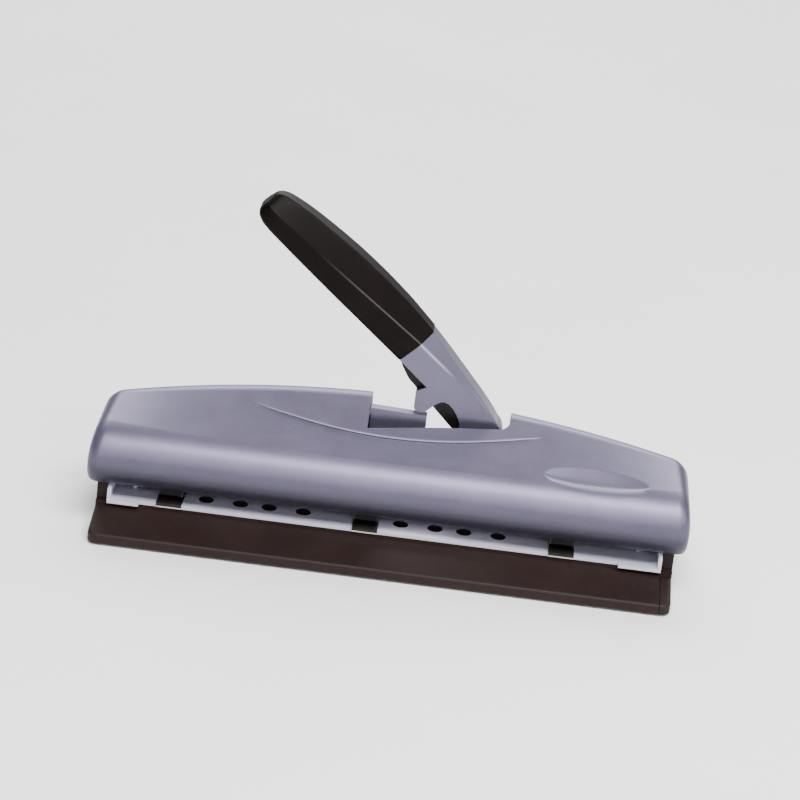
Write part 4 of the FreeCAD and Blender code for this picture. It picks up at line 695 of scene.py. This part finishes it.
def thicken(bm):
    """Give the cover's sheet its wall on the inner side and round the rims."""
    rim = bm.verts.layers.int.new("rim")
    for edge in bm.edges:
        if edge.is_boundary:
            edge.verts[0][rim] = edge.verts[1][rim] = 1
    bmesh.ops.solidify(bm, geom=bm.faces[:], thickness=COVER_WALL)
    edges = []
    for edge in bm.edges:
        on_rim = edge.verts[0][rim] and edge.verts[1][rim] and len(edge.link_faces) == 2
        if on_rim and edge.calc_face_angle(0.0) > RIM_FOLD:
            edges.append(edge)
    bmesh.ops.bevel(bm, geom=edges, offset=RIM_ROUND, segments=2, profile=0.5, affect="EDGES",
                    clamp_overlap=False)


def add_bosses(bm):
    """Four screw bosses inside the cover, over the end pillars."""
    low = PILLAR_TOP + BOSS_GAP
    for across in (-PILLAR_MIDDLE, PILLAR_MIDDLE):
        section = Section(across)
        for along in BOSS_PLACES:
            top = section.height_at(section.length_at(along)) - BOSS_DROP
            made = bmesh.ops.create_cone(bm, cap_ends=True, segments=28, radius1=BOSS_RADIUS,
                                         radius2=BOSS_RADIUS + BOSS_TAPER, depth=top - low)
            bmesh.ops.translate(bm, vec=(across, along, (top + low) / 2), verts=made["verts"])


# Lever grip, on the lever's own lengths from its pivot.

LEVER_HALF, GRIP_LENGTH, GRIP_END_ROUND, GRIP_END_SHARE = 11.5, 113.0, 3.0, 0.8
# Share of the way along the grip, low edge, ridge, crown, crown's half width, share of the lever's width.
GRIP_STATIONS = (
    (0.0, -6.8, 9.0, 17.6, 6.2, 1.03),
    (0.22, -9.0, 5.4, 17.2, 6.6, 1.07),
    (0.5, -11.8, 1.2, 14.2, 6.8, 1.12),
    (0.78, -14.6, -3.6, 8.6, 6.2, 1.08),
    (0.94, -15.8, -6.6, 3.8, 5.0, 0.96),
    (1.0, -14.2, -7.4, 0.2, 3.4, 0.70),
)
# Rings at the grip's start: how far along, and how much smaller.
GRIP_MOUTH = ((0.0, 0.7), (0.15, 0.25), (0.5, 0.0))
GRIP_RINGS, GRIP_END_RINGS, ROUND_STEPS = 56, 6, 5
LOW_ROUND, RIDGE_ROUND, CROWN_ROUND = 2.4, 0.9, 1.6
# Shares of a ring's inset that its ridges and its crown's half width take.
RIDGE_INSET, CROWN_INSET = 0.2, 0.4


def on_lever(along, across, up):
    """Carry a place on the lever to where it is at rest."""
    lean_in, lean_up = math.cos(LEVER_LEAN), math.sin(LEVER_LEAN)
    return PIVOT + Vector((up * lean_up - along * lean_in, across, along * lean_up + up * lean_in))


def smooth_station(stations, place):
    """Values at a place, on a smooth line through the stations."""
    last = len(stations) - 2
    index = max(0, min(last, sum(1 for station in stations[1:-1] if station[0] <= place)))
    low, high = stations[index], stations[index + 1]
    span = high[0] - low[0]
    share = (place - low[0]) / span
    before = stations[max(0, index - 1)]
    after = stations[min(len(stations) - 1, index + 2)]
    values = []
    for item in range(1, len(low)):
        start = (high[item] - before[item]) / (high[0] - before[0]) * span
        end = (after[item] - low[item]) / (after[0] - low[0]) * span
        rise = high[item] - low[item]
        bend = share * (start + share * (3 * rise - 2 * start - end + share * (start + end - 2 * rise)))
        values.append(low[item] + bend)
    return values


def rounded_ring(corners, radii):
    """Points round a closed outline with each corner rounded by its own radius."""
    points = []
    for index, corner in enumerate(corners):
        before = (corners[index - 1] - corner).normalized()
        after = (corners[(index + 1) % len(corners)] - corner).normalized()
        half = before.angle(after) / 2
        reach = radii[index] / math.tan(half)
        centre = corner + (before + after).normalized() * (radii[index] / math.sin(half))
        start, end = corner + before * reach - centre, corner + after * reach - centre
        for step in range(ROUND_STEPS + 1):
            points.append(centre + start.lerp(end, step / ROUND_STEPS).normalized() * radii[index])
    return points


def grip_ring(share, inset):
    """Outline across the grip at a share of its length, made smaller by an inset."""
    low, ridge, crown, crown_half, width = smooth_station(GRIP_STATIONS, share)
    half = LEVER_HALF * width - inset
    crown_half -= inset * CROWN_INSET
    ridge, low, crown = ridge - inset * RIDGE_INSET, low + inset, crown - inset
    corners = [Vector(pair) for pair in (
        (-half, low), (-half, ridge), (-crown_half, crown), (crown_half, crown), (half, ridge), (half, low))]
    radii = (LOW_ROUND, RIDGE_ROUND, CROWN_ROUND, CROWN_ROUND, RIDGE_ROUND, LOW_ROUND)
    return rounded_ring(corners, radii)


def make_grip():
    """Black grip: six flats with close-rounded ridges, swelling to the palm and rounded off at its end."""
    bm = bmesh.new()
    straight = GRIP_LENGTH - GRIP_END_ROUND
    stations = list(GRIP_MOUTH) + [(along, 0.0) for along in spread(2.0, straight, GRIP_RINGS)]
    for turned in spread(0.0, 90.0, GRIP_END_RINGS)[1:]:
        angle = math.radians(turned)
        along = GRIP_LENGTH - GRIP_END_ROUND * (1 - math.sin(angle))
        stations.append((along, GRIP_END_ROUND * (1 - math.cos(angle)) * GRIP_END_SHARE))
    loops = []
    for along, inset in stations:
        ring = grip_ring(along / GRIP_LENGTH, inset)
        loops.append([bm.verts.new(on_lever(GRIP_START + along, point.x, point.y)) for point in ring])
    tube(bm, loops)
    new_piece("hand_grip", bm, "handle", "grip_plastic", "lever_grip", 50.0)


# Springs, each wound between its two seats.

STROKE, SEAT_GAP = 7.186, 0.15
PIN_COIL, PIN_WIRE, PIN_TURNS = 4.3, 0.7, 3.5
LIFT_COIL, LIFT_WIRE, LIFT_TURNS = 4.4, 1.0, 7.0
TURN_RINGS, WIRE_SIDES = 36, 12


def add_coil(bm, centre, radius, wire, turns, low, high):
    """One wire wound round an upright line between two seats, clear of both, with flat ends."""
    start, rise = low + wire / 2 + SEAT_GAP, high - low - wire - 2 * SEAT_GAP
    climb = rise / turns / (2 * math.pi * radius)
    count = round(turns * TURN_RINGS)
    loops = []
    for step in range(count + 1):
        angle = 2 * math.pi * turns * step / count
        out = Vector((math.cos(angle), math.sin(angle), 0.0))
        along = Vector((-math.sin(angle), math.cos(angle), climb)).normalized()
        middle = centre + out * radius + Vector((0.0, 0.0, start + rise * step / count))
        up = along.cross(out)
        ring = []
        for side in range(WIRE_SIDES):
            turn = 2 * math.pi * side / WIRE_SIDES
            ring.append(bm.verts.new(middle + (out * math.cos(turn) + up * math.sin(turn)) * wire / 2))
        loops.append(ring)
    tube(bm, loops)


def box_mm(node):
    low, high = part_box(node)
    return Vector(low) / MM, Vector(high) / MM


def make_springs():
    """A spring under each punch pin's cap, and the two lift springs under the presser bar."""
    for name in ("left", "middle", "right"):
        cap_low, cap_high = box_mm(f"{name}_spring_cap")
        seat = box_mm(f"{name}_head_block")[1].z
        middle = (cap_low + cap_high) / 2
        bm = bmesh.new()
        add_coil(bm, Vector((middle.x, middle.y, 0.0)), PIN_COIL, PIN_WIRE, PIN_TURNS, seat, cap_low.z)
        coil = new_piece(f"{name}_coil", bm, f"head_{name}", "spring_steel", f"{name}_pin_spring")
        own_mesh(coil)
    low, high = box_mm("lift_springs")
    seat, top, across_middle = low.z - SEAT_GAP, high.z + SEAT_GAP, (low.y + high.y) / 2
    outer = LIFT_COIL + LIFT_WIRE / 2
    bm = bmesh.new()
    for across in (low.x + outer, high.x - outer):
        add_coil(bm, Vector((across, across_middle, 0.0)), LIFT_COIL, LIFT_WIRE, LIFT_TURNS, seat, top)
    coils = new_piece("lift_coils", bm, "frame", "spring_steel", "lift_springs")
    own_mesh(coils)


make_cover()
make_grip()
make_springs()


# Table, light and camera. Distances and sizes are in metres, angles in degrees.

TABLE_HALF = 4.0
LAMP_AIM = Vector((0.0, 0.0, 0.05))
WARM, PLAIN, COOL = (1.0, 0.985, 0.97), (1.0, 1.0, 1.0), (0.96, 0.97, 1.0)
# Name, turn to the right, height above the table, distance, width, height, power and tint.
LAMPS = (
    ("key_box", 22, 60, 1.7, 1.5, 0.6, 60.0, WARM),
    ("front_box", 6, 27, 2.2, 2.0, 0.4, 18.0, WARM),
    ("left_box", -78, 16, 1.8, 0.8, 0.8, 0.3, COOL),
    ("right_box", 74, 28, 2.0, 0.8, 0.8, 10.0, PLAIN),
    ("back_box", 180, 40, 2.2, 2.6, 1.2, 75.0, PLAIN),
)
SKY, SKY_STRENGTH = (0.93, 0.95, 1.0), 0.2
CAMERA_TURN, CAMERA_HEIGHT, CAMERA_TILT = 1.5, 22.0, 6.6
CAMERA_AIM, CAMERA_DISTANCE, LENS, SENSOR = Vector((0.0, 0.0, 0.086)), 1.5, 124.0, 36.0


def away_from_aim(azimuth, elevation):
    """Direction from the punch towards a lamp or the camera."""
    turn, rise = math.radians(azimuth), math.radians(elevation)
    return Vector((math.sin(turn) * math.cos(rise), -math.cos(turn) * math.cos(rise), math.sin(rise)))


def make_table():
    """Wide pale table top under the feet."""
    half = TABLE_HALF
    mesh = bpy.data.meshes.new("table_top")
    corners = [(-half, -half, 0.0), (half, -half, 0.0), (half, half, 0.0), (-half, half, 0.0)]
    mesh.from_pydata(corners, [], [(0, 1, 2, 3)])
    table = bpy.data.objects.new("table_top", mesh)
    bpy.context.scene.collection.objects.link(table)
    mesh.materials.append(table_finish())


def soft_box(name, azimuth, elevation, distance, width, height, power, tint):
    """Rectangular area light that looks at the punch from a direction."""
    light = bpy.data.lights.new(name, "AREA")
    light.shape = "RECTANGLE"
    light.size, light.size_y = width, height
    light.energy = power
    light.color = tint
    lamp = bpy.data.objects.new(name, light)
    away = away_from_aim(azimuth, elevation)
    lamp.location = LAMP_AIM + away * distance
    lamp.rotation_mode = "QUATERNION"
    lamp.rotation_quaternion = (-away).to_track_quat("-Z", "Y")
    bpy.context.scene.collection.objects.link(lamp)


def light_room():
    """Dim even sky and the soft boxes."""
    world = bpy.data.worlds.new("studio")
    bpy.context.scene.world = world
    world.use_nodes = True
    background = world.node_tree.nodes["Background"]
    background.inputs["Color"].default_value = tinted(SKY)
    background.inputs["Strength"].default_value = SKY_STRENGTH
    for lamp in LAMPS:
        soft_box(*lamp)


def place_camera():
    """Camera at the photograph's angle: nearly square on, well above, tilted a little to the right."""
    back = away_from_aim(CAMERA_TURN, CAMERA_HEIGHT)
    lens = bpy.data.cameras.new("front_camera")
    lens.lens, lens.sensor_width = LENS, SENSOR
    lens.clip_start, lens.clip_end = 0.05, 60.0
    camera = bpy.data.objects.new("front_camera", lens)
    camera.location = CAMERA_AIM + back * CAMERA_DISTANCE
    camera.rotation_mode = "QUATERNION"
    level = (-back).to_track_quat("-Z", "Y")
    camera.rotation_quaternion = level @ Matrix.Rotation(math.radians(CAMERA_TILT), 4, "Z").to_quaternion()
    bpy.context.scene.collection.objects.link(camera)
    bpy.context.scene.camera = camera


make_table()
light_room()
place_camera()
